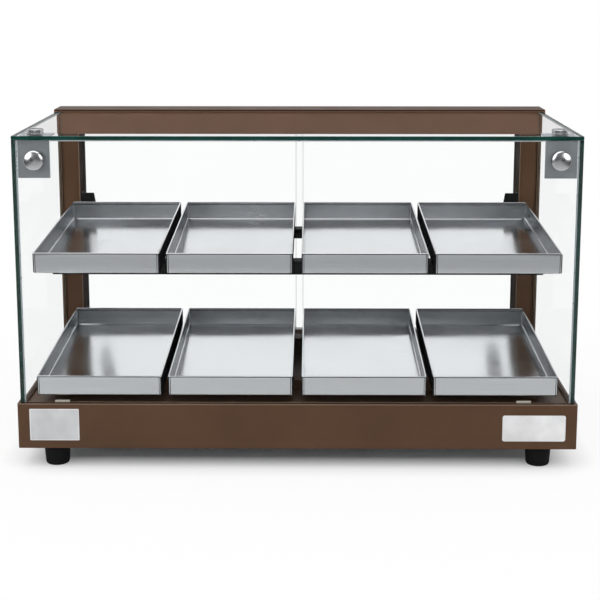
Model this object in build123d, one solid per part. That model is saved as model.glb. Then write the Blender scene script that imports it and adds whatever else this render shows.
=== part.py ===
from build123d import *
import math
import os

os.makedirs("parts", exist_ok=True)

# Food display case: a counter-top warmer with glass on its front, sides and top,
# two rows of four lift-out trays and two sliding glass doors on the server's side.
# Millimetres. +Z is up, the customer's side faces -Y, and +X is to the customer's right.
# The origin lies on the counter, under the middle of the overall box.
# Cuts run one millimetre past the faces that they open.

# Glass
glass_width = 760.0
glass_depth = 341.0
glass_rise = 368.0
glass_thickness = 5.0
pane_grind = 0.5
stud_hole_radius = 4.0

# Base and deck
base_height = 63.0
base_front_margin = 5.0
base_side_margin = 4.0
base_sheet = 1.2
base_corner_radius = 2.5
slot_depth = 9.0
gasket_wall = 0.6
gasket_floor = 1.0
deck_drop = 2.5
deck_sheet = 1.2
deck_edge_gap = 2.0
deck_ledge = 12.0
deck_back_margin = 3.0
cover_sheet = 1.2
cover_edge_gap = 0.3
return_flange = 14.0

# Feet
foot_height = 29.0
foot_top_radius = 18.2
foot_bottom_radius = 16.2
foot_edge_radius = 3.0
foot_bore_depth = 13.0
foot_bore_radius = 6.0
foot_inset_x = 49.0
foot_inset_y = 26.0
foot_bolt_radius = 2.5
foot_bolt_head_radius = 5.0
foot_nut_height = 4.0
foot_nut_radius = 4.75

# Posts and header
post_width = 37.0
post_depth = 62.0
post_side_margin = 1.0
post_wall = 2.2
post_edge_radius = 1.3
post_end_plate = 3.0
post_groove_width = 3.0
post_groove_depth = 4.0
post_lip_width = 1.5
post_rib_width = 3.5
post_face_recess = 0.8
post_bolt_radius = 2.5
post_bolt_head_radius = 4.8
post_bolt_head_height = 3.2
post_bolt_length = 14.0
post_bolt_inset = 16.0
header_height = 42.4
header_proud = 3.2
header_wall = 1.5
header_cap = 2.0
header_edge_radius = 1.2
header_boss = 9.0
header_boss_length = 16.0
cap_screw_radius = 1.6
cap_screw_head_radius = 3.5
cap_screw_length = 12.0

# Corner brackets and their buttons
bracket_width = 43.0
bracket_drop = 51.5
bracket_reach = 41.0
bracket_sheet = 1.5
bracket_side_gap = 2.6
bracket_corner_radius = 0.6
button_radius = 13.0
top_button_radius = 11.0
button_inset = 1.0
button_height = 8.0
button_side = 5.2
button_groove = 1.0
button_groove_rise = 2.4
button_washer = 1.0
front_button_drop = 27.0
top_button_setback = 14.0
stud_radius = 3.0
stud_clearance = 0.2
nut_height = 5.0
nut_radius = 5.7
stud_tail = 1.5
bead_size = 2.2

# Glazing clips at the foot of the front pane
clip_left_inset = 52.0
clip_right_inset = 64.0
clip_width = 20.0
clip_wall = 1.0
clip_rise = 3.0
clip_edge_radius = 0.6

# Trays
tray_height = 28.5
tray_wall = 0.9
tray_gap = 9.0
tray_centre_gap = 12.0
tray_count = 4
tray_slope = 3.0
tray_front_gap = 9.0
tray_back_gap = 1.0
tray_side_gap = 17.0
tray_corner_radius = 1.2
tray_hem_width = 2.0
tray_hem_height = 4.0

# Upper shelf and lower tray runners
tray_front_rise = 11.0
runner_width = 22.0
runner_sheet = 1.2
runner_inset = 13.0
front_runner_setback = 66.0
rear_runner_setback = 48.0
shelf_rise = 172.0
rail_leg = 19.0
rail_width = 20.0
rail_sheet = 1.5
arm_width = 18.0
arm_side_gap = 2.0
gusset_sheet = 2.0
gusset_setback = 2.0
gusset_above_tray = 13.0
gusset_top_width = 21.0
gusset_bottom_width = 32.0
gusset_return = 18.0
gusset_screw_radius = 2.0
gusset_screw_head = 3.6
gusset_screw_bite = 4.0
gusset_screw_shares = (0.28, 0.76)

# Sliding doors and their tracks
door_thickness = 4.0
door_side_gap = 0.5
door_overlap = 12.0
door_foot_gap = 0.3
door_head_entry = 7.0
track_play = 0.4
track_wall = 1.5
track_divider = 4.2
track_floor = 1.5
bottom_groove_depth = 6.0
top_groove_depth = 15.0
track_back_margin = 4.0
track_end_gap = 0.3
pull_width = 22.0
pull_length = 90.0
pull_thickness = 3.0
pull_scoop_depth = 1.6
pull_wall = 3.0
pull_edge_gap = 15.0
pull_centre_rise = 146.0

# Controls on the back of the base
plate_thickness = 1.5
plate_length = 190.0
plate_height = 50.0
plate_side_inset = 30.0
plate_corner_radius = 3.0
plate_screw_margin = 5.8
knob_radius = 19.0
knob_grip_radius = 13.5
knob_skirt = 4.0
knob_height = 16.5
knob_gap = 0.4
knob_skirt_round = 1.2
knob_grip_round = 1.5
knob_ridge_width = 4.0
knob_ridge_reach = 15.0
knob_ridge_rise = 1.0
knob_cap = 3.0
knob_bush_room = 1.0
knob_inset = 44.0
shaft_radius = 3.0
shaft_play = 0.08
shaft_buried = 12.0
bush_radius = 5.0
bush_proud = 1.2
thermostat_width = 40.0
thermostat_height = 32.0
thermostat_depth = 24.0
switch_inset = 100.0
switch_width = 13.0
switch_height = 19.4
switch_depth = 20.0
bezel_border = 1.5
bezel_thickness = 2.0
bezel_corner_radius = 1.5
rocker_radius = 7.4
rocker_width = 9.6
rocker_play = 0.5
rocker_pivot_depth = 2.2
rocker_crown = 2.6
rocker_back = 4.5
rocker_tilt = 7.0
lamp_inset = 148.0
lamp_radius = 5.0
lamp_flange_radius = 6.5
lamp_flange = 1.5
lens_radius = 4.2
lens_rise = 4.0
lens_round = 1.6
lamp_body_length = 22.0
inlet_inset = 84.0
inlet_width = 27.0
inlet_height = 19.6
inlet_depth = 20.0
inlet_border = 2.0
inlet_corner_radius = 2.0
inlet_key = 3.0
inlet_flange = 2.5
inlet_wall = 1.6
inlet_floor = 4.0
inlet_pin_length = 13.0
inlet_pin_pitch = 7.0
inlet_pin_offset = 2.0
inlet_pin_thickness = 2.0
inlet_pin_width = 4.0
inlet_pin_tail = 5.0

# Heater and wiring inside the base
heater_radius = 4.0
heater_rise = 31.0
heater_front_setback = 131.0
heater_back_setback = 137.0
heater_left_inset = 184.0
heater_right_inset = 154.0
heater_pin_radius = 2.0
heater_pin_length = 12.0
heater_support_inset = 30.0
heater_support_count = 3
support_sheet = 1.5
support_foot = 12.0
support_margin = 10.0
support_play = 0.15
bulb_radius = 3.0
bulb_length = 80.0
bulb_inset = 264.0
bulb_setback = 97.0
bulb_clip_wall = 1.0
bulb_clip_width = 8.0
bulb_joint = 1.0
capillary_radius = 0.8
block_length = 34.0
block_width = 20.0
block_height = 15.0
block_ways = 3
block_bore_radius = 2.0
block_bore_inset = 5.0
block_entry_rise = 6.0
block_inset = 184.0
block_setback = 67.0
wire_radius = 1.3
wire_bend = 8.0
thermostat_tag_aside = 10.0
thermostat_tag_drop = 8.7

# Screws
screw_radius = 2.0
screw_head_radius = 3.8
screw_head_height = 2.2
screw_head_round = 0.45
screw_grip = 6.0
deck_screw_count = 4
cover_screw_count = 4
seat_gap = 0.3
hole_play = 0.15

# Warm-air slots in the deck and vents in the bottom cover
air_slot_length = 44.0
air_slot_width = 5.0
air_slot_rows = 3
air_slot_pitch = 70.0
vent_length = 40.0
vent_width = 4.0
vent_count = 9
vent_pitch = 12.0
vent_row_inset = 264.0

# Heights worked out from the sizes above
base_top_z = foot_height + base_height
deck_z = base_top_z - deck_drop
slot_floor_z = base_top_z - slot_depth
cover_top_z = foot_height + cover_sheet
glass_top_z = base_top_z + glass_rise
glass_under_z = glass_top_z - glass_thickness
header_top_z = glass_top_z + header_proud
header_bottom_z = header_top_z - header_height
lower_tray_z = deck_z + tray_front_rise
upper_tray_z = lower_tray_z + shelf_rise
heater_z = cover_top_z + heater_rise
control_z = foot_height + base_height / 2

# Depths, from the buttons in front to the knob behind
button_reach = button_washer + button_height
control_reach = plate_thickness + knob_height
overall_depth = button_reach + glass_depth + post_depth + control_reach
pane_y = -overall_depth / 2 + button_reach
pane_back_y = pane_y + glass_thickness
base_front_y = pane_y - base_front_margin
post_front_y = pane_y + glass_depth
back_y = post_front_y + post_depth
tray_front_y = pane_y + tray_front_gap
tray_back_y = post_front_y - tray_back_gap
slot_back_y = pane_back_y + gasket_wall
well_front_y = slot_back_y + base_sheet
well_back_y = post_front_y - deck_back_margin
runner_front_y = tray_front_y + front_runner_setback
runner_back_y = tray_back_y - rear_runner_setback
gusset_y = post_front_y + gusset_setback

# Heights of the shelf's gussets, from the sloped shelf's back edge
shelf_back_rise = (gusset_y - tray_front_y) * math.tan(math.radians(tray_slope))
shelf_back_z = upper_tray_z + shelf_back_rise
gusset_bottom_z = shelf_back_z - rail_leg - gusset_sheet
gusset_top_z = shelf_back_z + tray_height + gusset_above_tray

# Widths, each from the middle plane
glass_half = glass_width / 2
side_pane_inner = glass_half - glass_thickness
base_half = glass_half + base_side_margin
post_outer = base_half - post_side_margin
post_inner = post_outer - post_width
slot_inner_x = side_pane_inner - gasket_wall
well_half = slot_inner_x - base_sheet
tray_row_half = side_pane_inner - tray_side_gap
tray_row_gaps = (tray_count - 2) * tray_gap + tray_centre_gap
tray_width = (2 * tray_row_half - tray_row_gaps) / tray_count
runner_half = tray_row_half - runner_inset
bracket_outer = side_pane_inner - bracket_side_gap
bracket_inner = bracket_outer - bracket_width
button_x = bracket_outer - bracket_width / 2 - button_inset
arm_outer = post_inner - arm_side_gap
arm_inner = arm_outer - arm_width
foot_x = base_half - foot_inset_x
vent_row_x = base_half - vent_row_inset
clip_places = (clip_left_inset - side_pane_inner, side_pane_inner - clip_right_inset)

# Door planes, from the back of the track forwards
groove_width = door_thickness + 2 * track_play
track_width = 2 * (groove_width + track_wall) + track_divider
track_back_y = back_y - track_back_margin
track_front_y = track_back_y - track_width
outer_door_y = track_back_y - track_wall - groove_width / 2
inner_door_y = outer_door_y - groove_width - track_divider
door_bottom_z = base_top_z + track_floor + door_foot_gap
top_track_z = header_top_z - header_wall - track_floor - top_groove_depth
door_top_z = top_track_z + door_head_entry
door_edge = post_inner - door_side_gap

# Centres of the controls, seen from behind on the left, and of the inlet on the right
knob_x = base_half - plate_side_inset - knob_inset
switch_x = base_half - plate_side_inset - switch_inset
lamp_x = base_half - plate_side_inset - lamp_inset
inlet_x = inlet_inset - base_half
wall_y = back_y - base_sheet
plate_back_y = back_y + plate_thickness

# Places of the heater, the sensing bulb and the terminal block inside the base
heater_front_y = base_front_y + heater_front_setback
heater_back_y = back_y - heater_back_setback
heater_left_x = heater_left_inset - base_half
heater_right_x = base_half - heater_right_inset
bulb_centre_x = base_half - bulb_inset
bulb_y = back_y - bulb_setback
block_x = block_inset - base_half
block_y = back_y - block_setback


def block(x0, x1, y0, y1, z0, z1):
    """A box given by the places of its six faces."""
    middle = Pos((x0 + x1) / 2, (y0 + y1) / 2, (z0 + z1) / 2)
    return middle * Box(abs(x1 - x0), abs(y1 - y0), abs(z1 - z0))


def rod(x, y, z0, z1, radius):
    """An upright round bar."""
    return Pos(x, y, (z0 + z1) / 2) * Cylinder(radius, z1 - z0)


def rod_along_y(x, z, y0, y1, radius):
    """A round bar that points to the back."""
    return Pos(x, (y0 + y1) / 2, z) * Rot(90, 0, 0) * Cylinder(radius, y1 - y0)


def rod_along_x(y, z, x0, x1, radius):
    """A round bar that points to the side."""
    return Pos((x0 + x1) / 2, y, z) * Rot(0, 90, 0) * Cylinder(radius, x1 - x0)


def mirrored(shape):
    """The same piece on the other side of the middle plane."""
    return mirror(shape, about=Plane.YZ)


def group(shapes):
    """Separate solids that share one node."""
    solids = [solid for shape in shapes for solid in shape.solids()]
    return Compound(children=solids)


def spread(low, high, count):
    """Evenly spaced places from low to high, both ends included."""
    step = (high - low) / (count - 1)
    return [low + step * index for index in range(count)]


def pan_screw(length, radius, head_radius, head_height):
    """A pan-head screw with its head on Z = 0 and its shank below."""
    shank = rod(0, 0, -length, 0, radius)
    head = rod(0, 0, 0, head_height, head_radius)
    rim = head.edges().group_by(Axis.Z)[-1]
    return fillet(rim, head_height * screw_head_round) + shank


def hex_nut(height, radius, bore):
    """A hexagon nut that stands on Z = 0."""
    hexagon = extrude(RegularPolygon(radius, 6), height)
    return hexagon - rod(0, 0, -1, height + 1, bore)


# Base

def slot_front():
    """The room that the front pane and its gasket take in the base."""
    reach = glass_half + gasket_wall
    return block(-reach, reach, pane_y - gasket_wall, slot_back_y, slot_floor_z, base_top_z + 1)


def slot_side():
    """The room that the right side pane and its gasket take in the base."""
    return block(slot_inner_x, glass_half + gasket_wall, pane_y, post_front_y,
                 slot_floor_z, base_top_z + 1)


def base_shell():
    """The folded box, open below, with its bottom flange turned in."""
    outer = block(-base_half, base_half, base_front_y, back_y, foot_height, base_top_z)
    outer = fillet(outer.edges().filter_by(Axis.Z), base_corner_radius)
    inner_half = base_half - base_sheet
    inner = block(-inner_half, inner_half, base_front_y + base_sheet, wall_y,
                  foot_height - 1, base_top_z - base_sheet)
    shell = outer - inner
    flange_bottom = cover_top_z
    flange = block(-inner_half, inner_half, base_front_y + base_sheet, wall_y,
                   flange_bottom, flange_bottom + base_sheet)
    window_half = inner_half - return_flange
    window = block(-window_half, window_half, base_front_y + base_sheet + return_flange,
                   wall_y - return_flange, flange_bottom - 1, flange_bottom + base_sheet + 1)
    return shell + (flange - window)


def deck_well():
    """The down-turned edge and the ledge that the deck plate lies on."""
    ledge_top = deck_z - deck_sheet
    ledge_bottom = ledge_top - base_sheet
    wall = block(-well_half - base_sheet, well_half + base_sheet, well_front_y - base_sheet,
                 well_back_y + base_sheet, ledge_bottom, base_top_z)
    room = block(-well_half, well_half, well_front_y, well_back_y, ledge_top, base_top_z + 1)
    window_half = well_half - deck_ledge
    window = block(-window_half, window_half, well_front_y + deck_ledge,
                   well_back_y - deck_ledge, ledge_bottom - 1, ledge_top + 1)
    return wall, room + window


def base_rear_holes():
    """The openings in the back wall for the controls and the inlet."""
    near = wall_y - 1
    far = back_y + 1
    knob_hole = rod_along_y(knob_x, control_z, near, far, bush_radius + hole_play)
    lamp_hole = rod_along_y(lamp_x, control_z, near, far, lamp_radius + hole_play)
    switch_half = switch_width / 2 + hole_play
    switch_rise = switch_height / 2 + hole_play
    switch_hole = block(switch_x - switch_half, switch_x + switch_half, near, far,
                        control_z - switch_rise, control_z + switch_rise)
    inlet_half = inlet_width / 2 + hole_play
    inlet_rise = inlet_height / 2 + hole_play
    inlet_hole = block(inlet_x - inlet_half, inlet_x + inlet_half, near, far,
                       control_z - inlet_rise, control_z + inlet_rise)
    return knob_hole + lamp_hole + switch_hole + inlet_hole


def base_housing():
    """The brown base with its glass slots, deck well and back wall."""
    rim_half = base_half - base_sheet
    rim_front = block(-rim_half, rim_half, base_front_y + base_sheet, slot_back_y + base_sheet,
                      slot_floor_z - base_sheet, base_top_z)
    rim_side = block(well_half, rim_half, base_front_y + base_sheet, post_front_y + base_sheet,
                     slot_floor_z - base_sheet, base_top_z)
    well, well_room = deck_well()
    base = base_shell() + rim_front + rim_side + mirrored(rim_side) + well
    base = base - well_room - slot_front() - slot_side() - mirrored(slot_side())
    base = base - base_rear_holes()
    top_z = base_top_z + 1
    for x, y in post_bolt_places():
        base -= rod(x, y, base_top_z - slot_depth, top_z, post_bolt_radius + hole_play)
    for x, y in deck_screw_places():
        base -= rod(x, y, deck_z - screw_grip - 1, deck_z, screw_radius + hole_play)
    for x, y in cover_screw_places():
        base -= rod(x, y, foot_height, foot_height + screw_grip + 1, screw_radius + hole_play)
    for x, y in plate_screw_places():
        base -= rod_along_y(x, y, wall_y - 1, back_y + 1, screw_radius + hole_play)
    return base


def deck_screw_places():
    """Screws along the front and back ledges, under the trays."""
    front = well_front_y + deck_ledge / 2 + deck_edge_gap / 2
    back = well_back_y - deck_ledge / 2 - deck_edge_gap / 2
    columns = spread(-tray_row_half + tray_width / 2, tray_row_half - tray_width / 2,
                     deck_screw_count)
    return [(x, y) for y in (front, back) for x in columns]


def deck_plate():
    """The brown sheet that closes the base and warms the lower trays."""
    half = well_half - deck_edge_gap
    plate = block(-half, half, well_front_y + deck_edge_gap, well_back_y - deck_edge_gap,
                  deck_z - deck_sheet, deck_z)
    middle_y = (runner_front_y + runner_back_y) / 2
    columns = spread(-tray_row_half + tray_width / 2, tray_row_half - tray_width / 2, tray_count)
    for x in columns:
        for row in range(air_slot_rows):
            y = middle_y + (row - (air_slot_rows - 1) / 2) * air_slot_pitch
            slot = extrude(SlotOverall(air_slot_length, air_slot_width), deck_sheet + 2)
            plate -= Pos(x, y, deck_z - deck_sheet - 1) * slot
    for x, y in deck_screw_places():
        plate -= rod(x, y, deck_z - deck_sheet - 1, deck_z + 1, screw_radius + hole_play)
    return plate


def cover_screw_places():
    """Screws through the bottom cover into the base's return flange."""
    inset = base_sheet + return_flange / 2
    columns = spread(-base_half + 3 * inset, base_half - 3 * inset, cover_screw_count)
    return [(x, y) for y in (base_front_y + inset, back_y - inset) for x in columns]


def foot_places():
    """The four corners where the feet are bolted."""
    rows = (base_front_y + foot_inset_y, back_y - foot_inset_y)
    return [(side * foot_x, y) for y in rows for side in (-1, 1)]


def bottom_cover():
    """The flat plate under the base, with vents and bolt holes."""
    half = base_half - base_sheet - cover_edge_gap
    front = base_front_y + base_sheet + cover_edge_gap
    cover = block(-half, half, front, wall_y - cover_edge_gap, foot_height, cover_top_z)
    for x, y in foot_places():
        cover -= rod(x, y, foot_height - 1, cover_top_z + 1, foot_bolt_radius + hole_play)
    for x, y in cover_screw_places():
        cover -= rod(x, y, foot_height - 1, cover_top_z + 1, screw_radius + hole_play)
    vent = extrude(SlotOverall(vent_length, vent_width), cover_sheet + 2)
    for side in (-1, 1):
        for index in range(vent_count):
            x = side * vent_row_x
            y = (index - (vent_count - 1) / 2) * vent_pitch
            cover -= Pos(x, y, foot_height - 1) * vent
    return cover


def pan_screws():
    """The equal screws of the deck, the bottom cover and the control plate."""
    screw = pan_screw(screw_grip, screw_radius, screw_head_radius, screw_head_height)
    below = Rot(180, 0, 0) * screw
    behind = Rot(-90, 0, 0) * screw
    screws = [Pos(x, y, deck_z) * screw for x, y in deck_screw_places()]
    screws += [Pos(x, y, foot_height) * below for x, y in cover_screw_places()]
    screws += [Pos(x, plate_back_y, z) * behind for x, z in plate_screw_places()]
    return group(screws)


def foot():
    """One tapered rubber foot, bored for its bolt."""
    body = Pos(0, 0, foot_height / 2) * Cone(foot_bottom_radius, foot_top_radius, foot_height)
    body = fillet(body.edges().group_by(Axis.Z)[0], foot_edge_radius)
    body -= rod(0, 0, -1, foot_bore_depth, foot_bore_radius)
    body -= rod(0, 0, 0, foot_height + 1, foot_bolt_radius + hole_play)
    return body


def feet():
    """Four equal feet."""
    return group([Pos(x, y, 0) * foot() for x, y in foot_places()])


def foot_fixings():
    """Bolts with their heads up inside the feet, and their nuts inside the base."""
    length = foot_height - foot_bore_depth + cover_sheet + nut_height
    bolt = Rot(180, 0, 0) * pan_screw(length, foot_bolt_radius, foot_bolt_head_radius,
                                      screw_head_height)
    nut = hex_nut(foot_nut_height, foot_nut_radius, foot_bolt_radius + hole_play)
    bolts = [Pos(x, y, foot_bore_depth) * bolt for x, y in foot_places()]
    nuts = [Pos(x, y, cover_top_z) * nut for x, y in foot_places()]
    return group(bolts + nuts)


# Glass

def pane(x0, x1, y0, y1, z0, z1):
    """A pane of glass with its edges ground off."""
    return chamfer(block(x0, x1, y0, y1, z0, z1).edges(), pane_grind)


def front_glass():
    """The front pane, drilled for the two front buttons."""
    glass = pane(-glass_half, glass_half, pane_y, pane_back_y,
                 slot_floor_z + gasket_floor, glass_under_z)
    for side in (-1, 1):
        glass -= rod_along_y(side * button_x, glass_under_z - front_button_drop,
                             pane_y - 1, pane_back_y + 1, stud_hole_radius)
    return glass


def side_glass():
    """The right side pane, between the front pane and the post."""
    return pane(side_pane_inner, glass_half, slot_back_y, post_front_y - seat_gap,
                slot_floor_z + gasket_floor, glass_under_z)


def top_glass():
    """The top pane, drilled for the two top buttons."""
    glass = pane(-glass_half, glass_half, pane_y, post_front_y - seat_gap,
                 glass_under_z, glass_top_z)
    for side in (-1, 1):
        glass -= rod(side * button_x, pane_y + top_button_setback,
                     glass_under_z - 1, glass_top_z + 1, stud_hole_radius)
    return glass


def gasket_front():
    """The rubber channel under the front pane."""
    body = block(-glass_half, glass_half, pane_y - gasket_wall, slot_back_y,
                 slot_floor_z, base_top_z)
    return body - block(-glass_half, glass_half, pane_y, pane_back_y,
                        slot_floor_z + gasket_floor, base_top_z)


def gasket_side():
    """The rubber channel under the right side pane."""
    body = block(slot_inner_x, glass_half + gasket_wall, slot_back_y, post_front_y,
                 slot_floor_z, base_top_z)
    return body - block(side_pane_inner, glass_half, slot_back_y, post_front_y,
                        slot_floor_z + gasket_floor, base_top_z)


def glazing_gaskets():
    """The three rubber channels in the base's slots."""
    return group([gasket_front(), gasket_side(), mirrored(gasket_side())])


def prism(plane, points, length):
    """A bar with straight sides, drawn on a plane and drawn out from it."""
    return extrude(plane * make_face(Polyline(*points, close=True)), length)


def silicone_beads():
    """Clear beads where the panes meet, and the thin joint between front and side."""
    joint_x = glass_half - pane_grind
    upright = prism(Plane.XY, [(joint_x, pane_back_y), (side_pane_inner - bead_size, pane_back_y),
                               (side_pane_inner, pane_back_y + bead_size),
                               (side_pane_inner, slot_back_y), (joint_x, slot_back_y)],
                    glass_under_z - base_top_z)
    upright = Pos(0, 0, base_top_z) * upright
    side_start = pane_back_y + bracket_reach + 1
    over_side = prism(Plane.XZ, [(side_pane_inner, glass_under_z),
                                 (side_pane_inner - bead_size, glass_under_z),
                                 (side_pane_inner, glass_under_z - bead_size)],
                      side_start - post_front_y)
    over_side = Pos(0, side_start, 0) * over_side
    front_half = bracket_inner - 1
    over_front = prism(Plane.YZ, [(pane_back_y, glass_under_z),
                                  (pane_back_y + bead_size, glass_under_z),
                                  (pane_back_y, glass_under_z - bead_size)], 2 * front_half)
    over_front = Pos(-front_half, 0, 0) * over_front
    return group([upright, mirrored(upright), over_side, mirrored(over_side), over_front])


# Corner brackets

def corner_bracket():
    """The right L-shaped plate that ties the front pane to the top pane."""
    drop = block(bracket_inner, bracket_outer, pane_back_y, pane_back_y + bracket_sheet,
                 glass_under_z - bracket_drop, glass_under_z)
    drop = fillet(drop.edges().filter_by(Axis.Y).group_by(Axis.Z)[0], bracket_corner_radius)
    shelf = block(bracket_inner, bracket_outer, pane_back_y, pane_back_y + bracket_reach,
                  glass_under_z - bracket_sheet, glass_under_z)
    shelf = fillet(shelf.edges().filter_by(Axis.Z).group_by(Axis.Y)[-1], bracket_corner_radius)
    bracket = drop + shelf
    hole = stud_radius + stud_clearance
    bracket -= rod_along_y(button_x, glass_under_z - front_button_drop, pane_y,
                           pane_back_y + bracket_sheet + 1, hole)
    bracket -= rod(button_x, pane_y + top_button_setback, glass_under_z - bracket_sheet - 1,
                   glass_under_z + 1, hole)
    return bracket


def button(radius):
    """A domed cap with a groove round it, and its stud pointing down from Z = 0."""
    crown = button_height - button_side
    ball_radius = (radius ** 2 + crown ** 2) / (2 * crown)
    cap = rod(0, 0, 0, button_height, radius)
    cap = cap & (Pos(0, 0, button_height - ball_radius) * Sphere(ball_radius))
    ring = rod(0, 0, button_groove_rise, button_groove_rise + button_groove, radius + 1)
    ring -= rod(0, 0, 0, button_height, radius - button_groove)
    reach = button_washer + glass_thickness + bracket_sheet + nut_height + stud_tail
    return cap - ring + rod(0, 0, -reach, 0, stud_radius)


def to_front(shape):
    """Puts a piece that stands on Z = 0 on the front pane, at the right bracket."""
    return Pos(button_x, pane_y, glass_under_z - front_button_drop) * Rot(90, 0, 0) * shape


def to_top(shape):
    """Puts a piece that stands on Z = 0 on the top pane, at the right bracket."""
    return Pos(button_x, pane_y + top_button_setback, glass_top_z) * shape


def both_sides(shape):
    """A right-hand piece and its mirror image as one node."""
    return group([shape, mirrored(shape)])


def washer(radius):
    """A clear washer for under a button of this radius."""
    ring = rod(0, 0, 0, button_washer, radius - 1)
    return ring - rod(0, 0, -1, button_washer + 1, stud_radius + stud_clearance)


def bracket_washers():
    """Clear washers between the buttons and the glass."""
    right = [to_front(washer(button_radius)), to_top(washer(top_button_radius))]
    return group(right + [mirrored(ring) for ring in right])


def bracket_nuts():
    """Nuts on the studs, behind the brackets."""
    depth = glass_thickness + bracket_sheet + nut_height
    nut = Pos(0, 0, -depth) * hex_nut(nut_height, nut_radius, stud_radius + hole_play)
    return group([to_front(nut), to_top(nut), mirrored(to_front(nut)), mirrored(to_top(nut))])


def glazing_clips():
    """Small plastic clips that sit over the lip behind the front pane."""
    cap = block(-clip_width / 2, clip_width / 2, pane_back_y, well_front_y + clip_wall,
                base_top_z, base_top_z + clip_rise)
    cap = fillet(cap.edges().filter_by(Axis.X).group_by(Axis.Z)[-1], clip_edge_radius)
    leg = block(-clip_width / 2, clip_width / 2, well_front_y, well_front_y + clip_wall,
                deck_z - deck_sheet + seat_gap, base_top_z + clip_wall)
    clip = cap + leg
    return group([Pos(x, 0, 0) * clip for x in clip_places])


# Posts and header

def post_bolt_places():
    """Two bolts in each post, shared by its foot and its head."""
    x = (post_inner + post_outer) / 2
    rows = (post_front_y + post_bolt_inset, back_y - post_bolt_inset)
    return [(side * x, y) for side in (-1, 1) for y in rows]


def post():
    """The right rear post, a hollow section with a glazing groove in its face."""
    body = block(post_inner, post_outer, post_front_y, back_y, base_top_z, header_bottom_z)
    body = fillet(body.edges().filter_by(Axis.Z).group_by(Axis.Y)[-1], post_edge_radius)
    hollow = block(post_inner + post_wall, post_outer - post_wall, post_front_y + post_wall,
                   back_y - post_wall, base_top_z + post_end_plate,
                   header_bottom_z - post_end_plate)
    groove_outer = slot_inner_x + gasket_wall
    groove_inner = groove_outer - post_groove_width
    spine = block(groove_inner - post_wall, groove_outer + post_wall, post_front_y + post_wall,
                  post_front_y + post_groove_depth + post_wall, base_top_z, header_bottom_z)
    body -= hollow - spine
    body -= block(groove_inner, groove_outer, post_front_y - 1,
                  post_front_y + post_groove_depth, base_top_z - 1, header_bottom_z + 1)
    body -= block(post_inner + post_rib_width, groove_inner - post_lip_width, post_front_y - 1,
                  post_front_y + post_face_recess, base_top_z - 1, header_bottom_z + 1)
    for x, y in post_bolt_places():
        body -= rod(x, y, base_top_z - 1, header_bottom_z + 1, post_bolt_radius + hole_play)
    for y, z in shelf_side_screw_places():
        body -= rod_along_x(y, z, post_inner - 1, post_inner + post_wall + 1,
                            gusset_screw_radius + hole_play)
    return body


def post_bolts():
    """Bolts up into the posts from the base, and down into them from the header."""
    bolt = pan_screw(post_bolt_length, post_bolt_radius, post_bolt_head_radius,
                     post_bolt_head_height)
    upward = Rot(180, 0, 0) * bolt
    bolts = [Pos(x, y, base_top_z - base_sheet) * upward for x, y in post_bolt_places()]
    bolts += [Pos(x, y, header_bottom_z + header_wall) * bolt for x, y in post_bolt_places()]
    return group(bolts)


def header_boss_places():
    """Where the end cap screws bite, low in front and high behind."""
    low = header_bottom_z + header_wall + header_boss / 2
    high = header_top_z - header_wall - header_boss / 2
    return [(post_front_y + header_wall + header_boss / 2, low),
            (back_y - header_wall - header_boss / 2, high)]


def header_beam():
    """The brown box section across the back, open below above the doors."""
    half = base_half - header_cap
    beam = block(-half, half, post_front_y, back_y, header_bottom_z, header_top_z)
    beam = fillet(beam.edges().filter_by(Axis.X).group_by(Axis.Z)[-1], header_edge_radius)
    beam -= block(-half - 1, half + 1, post_front_y + header_wall, back_y - header_wall,
                  header_bottom_z + header_wall, header_top_z - header_wall)
    beam -= block(-post_inner, post_inner, track_front_y, back_y - header_wall,
                  header_bottom_z - 1, header_bottom_z + header_wall + 1)
    for x, y in post_bolt_places():
        beam -= rod(x, y, header_bottom_z - 1, header_bottom_z + header_wall + 1,
                    post_bolt_radius + hole_play)
    for y, z in header_boss_places():
        reach = header_boss / 2
        boss = block(half - header_boss_length, half, y - reach, y + reach, z - reach, z + reach)
        boss -= rod_along_x(y, z, half - header_boss_length - 1, half + 1,
                            cap_screw_radius + hole_play)
        beam = beam + boss + mirrored(boss)
    return beam


def header_end_cap():
    """The plate that closes the header's right end."""
    cap = block(base_half - header_cap, base_half, post_front_y, back_y,
                header_bottom_z, header_top_z)
    cap = fillet(cap.edges().filter_by(Axis.X).group_by(Axis.Z)[-1], header_edge_radius)
    for y, z in header_boss_places():
        cap -= cap_screw_at(y, z, hole_play)
    return cap


def cap_screw_at(y, z, play):
    """A countersunk screw in the right end cap, or with play the hole for it."""
    shank = rod_along_x(y, z, base_half - header_cap - cap_screw_length, base_half,
                        cap_screw_radius + play)
    head = Pos(base_half - header_cap / 2, y, z) * Rot(0, 90, 0)
    head *= Cone(cap_screw_radius + play, cap_screw_head_radius + play, header_cap)
    return shank + head


def end_cap_screws():
    """Two countersunk screws in each end cap."""
    right = [cap_screw_at(y, z, 0) for y, z in header_boss_places()]
    return group(right + [mirrored(screw) for screw in right])


# Doors

def door_track(z0, z1, groove_z0, groove_z1):
    """A double channel between the posts, for both doors."""
    half = post_inner - track_end_gap
    track = block(-half, half, track_front_y, track_back_y, z0, z1)
    for y in (inner_door_y, outer_door_y):
        track -= block(-half - 1, half + 1, y - groove_width / 2, y + groove_width / 2,
                       groove_z0, groove_z1)
    return track


def door_track_bottom():
    """The shallow track that the doors stand in."""
    top = base_top_z + track_floor + bottom_groove_depth
    return door_track(base_top_z, top, base_top_z + track_floor, top + 1)


def door_track_top():
    """The deep track inside the header, which lets a door be lifted out."""
    top = header_top_z - header_wall
    return door_track(top_track_z, top, top_track_z - 1, top - track_floor)


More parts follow.
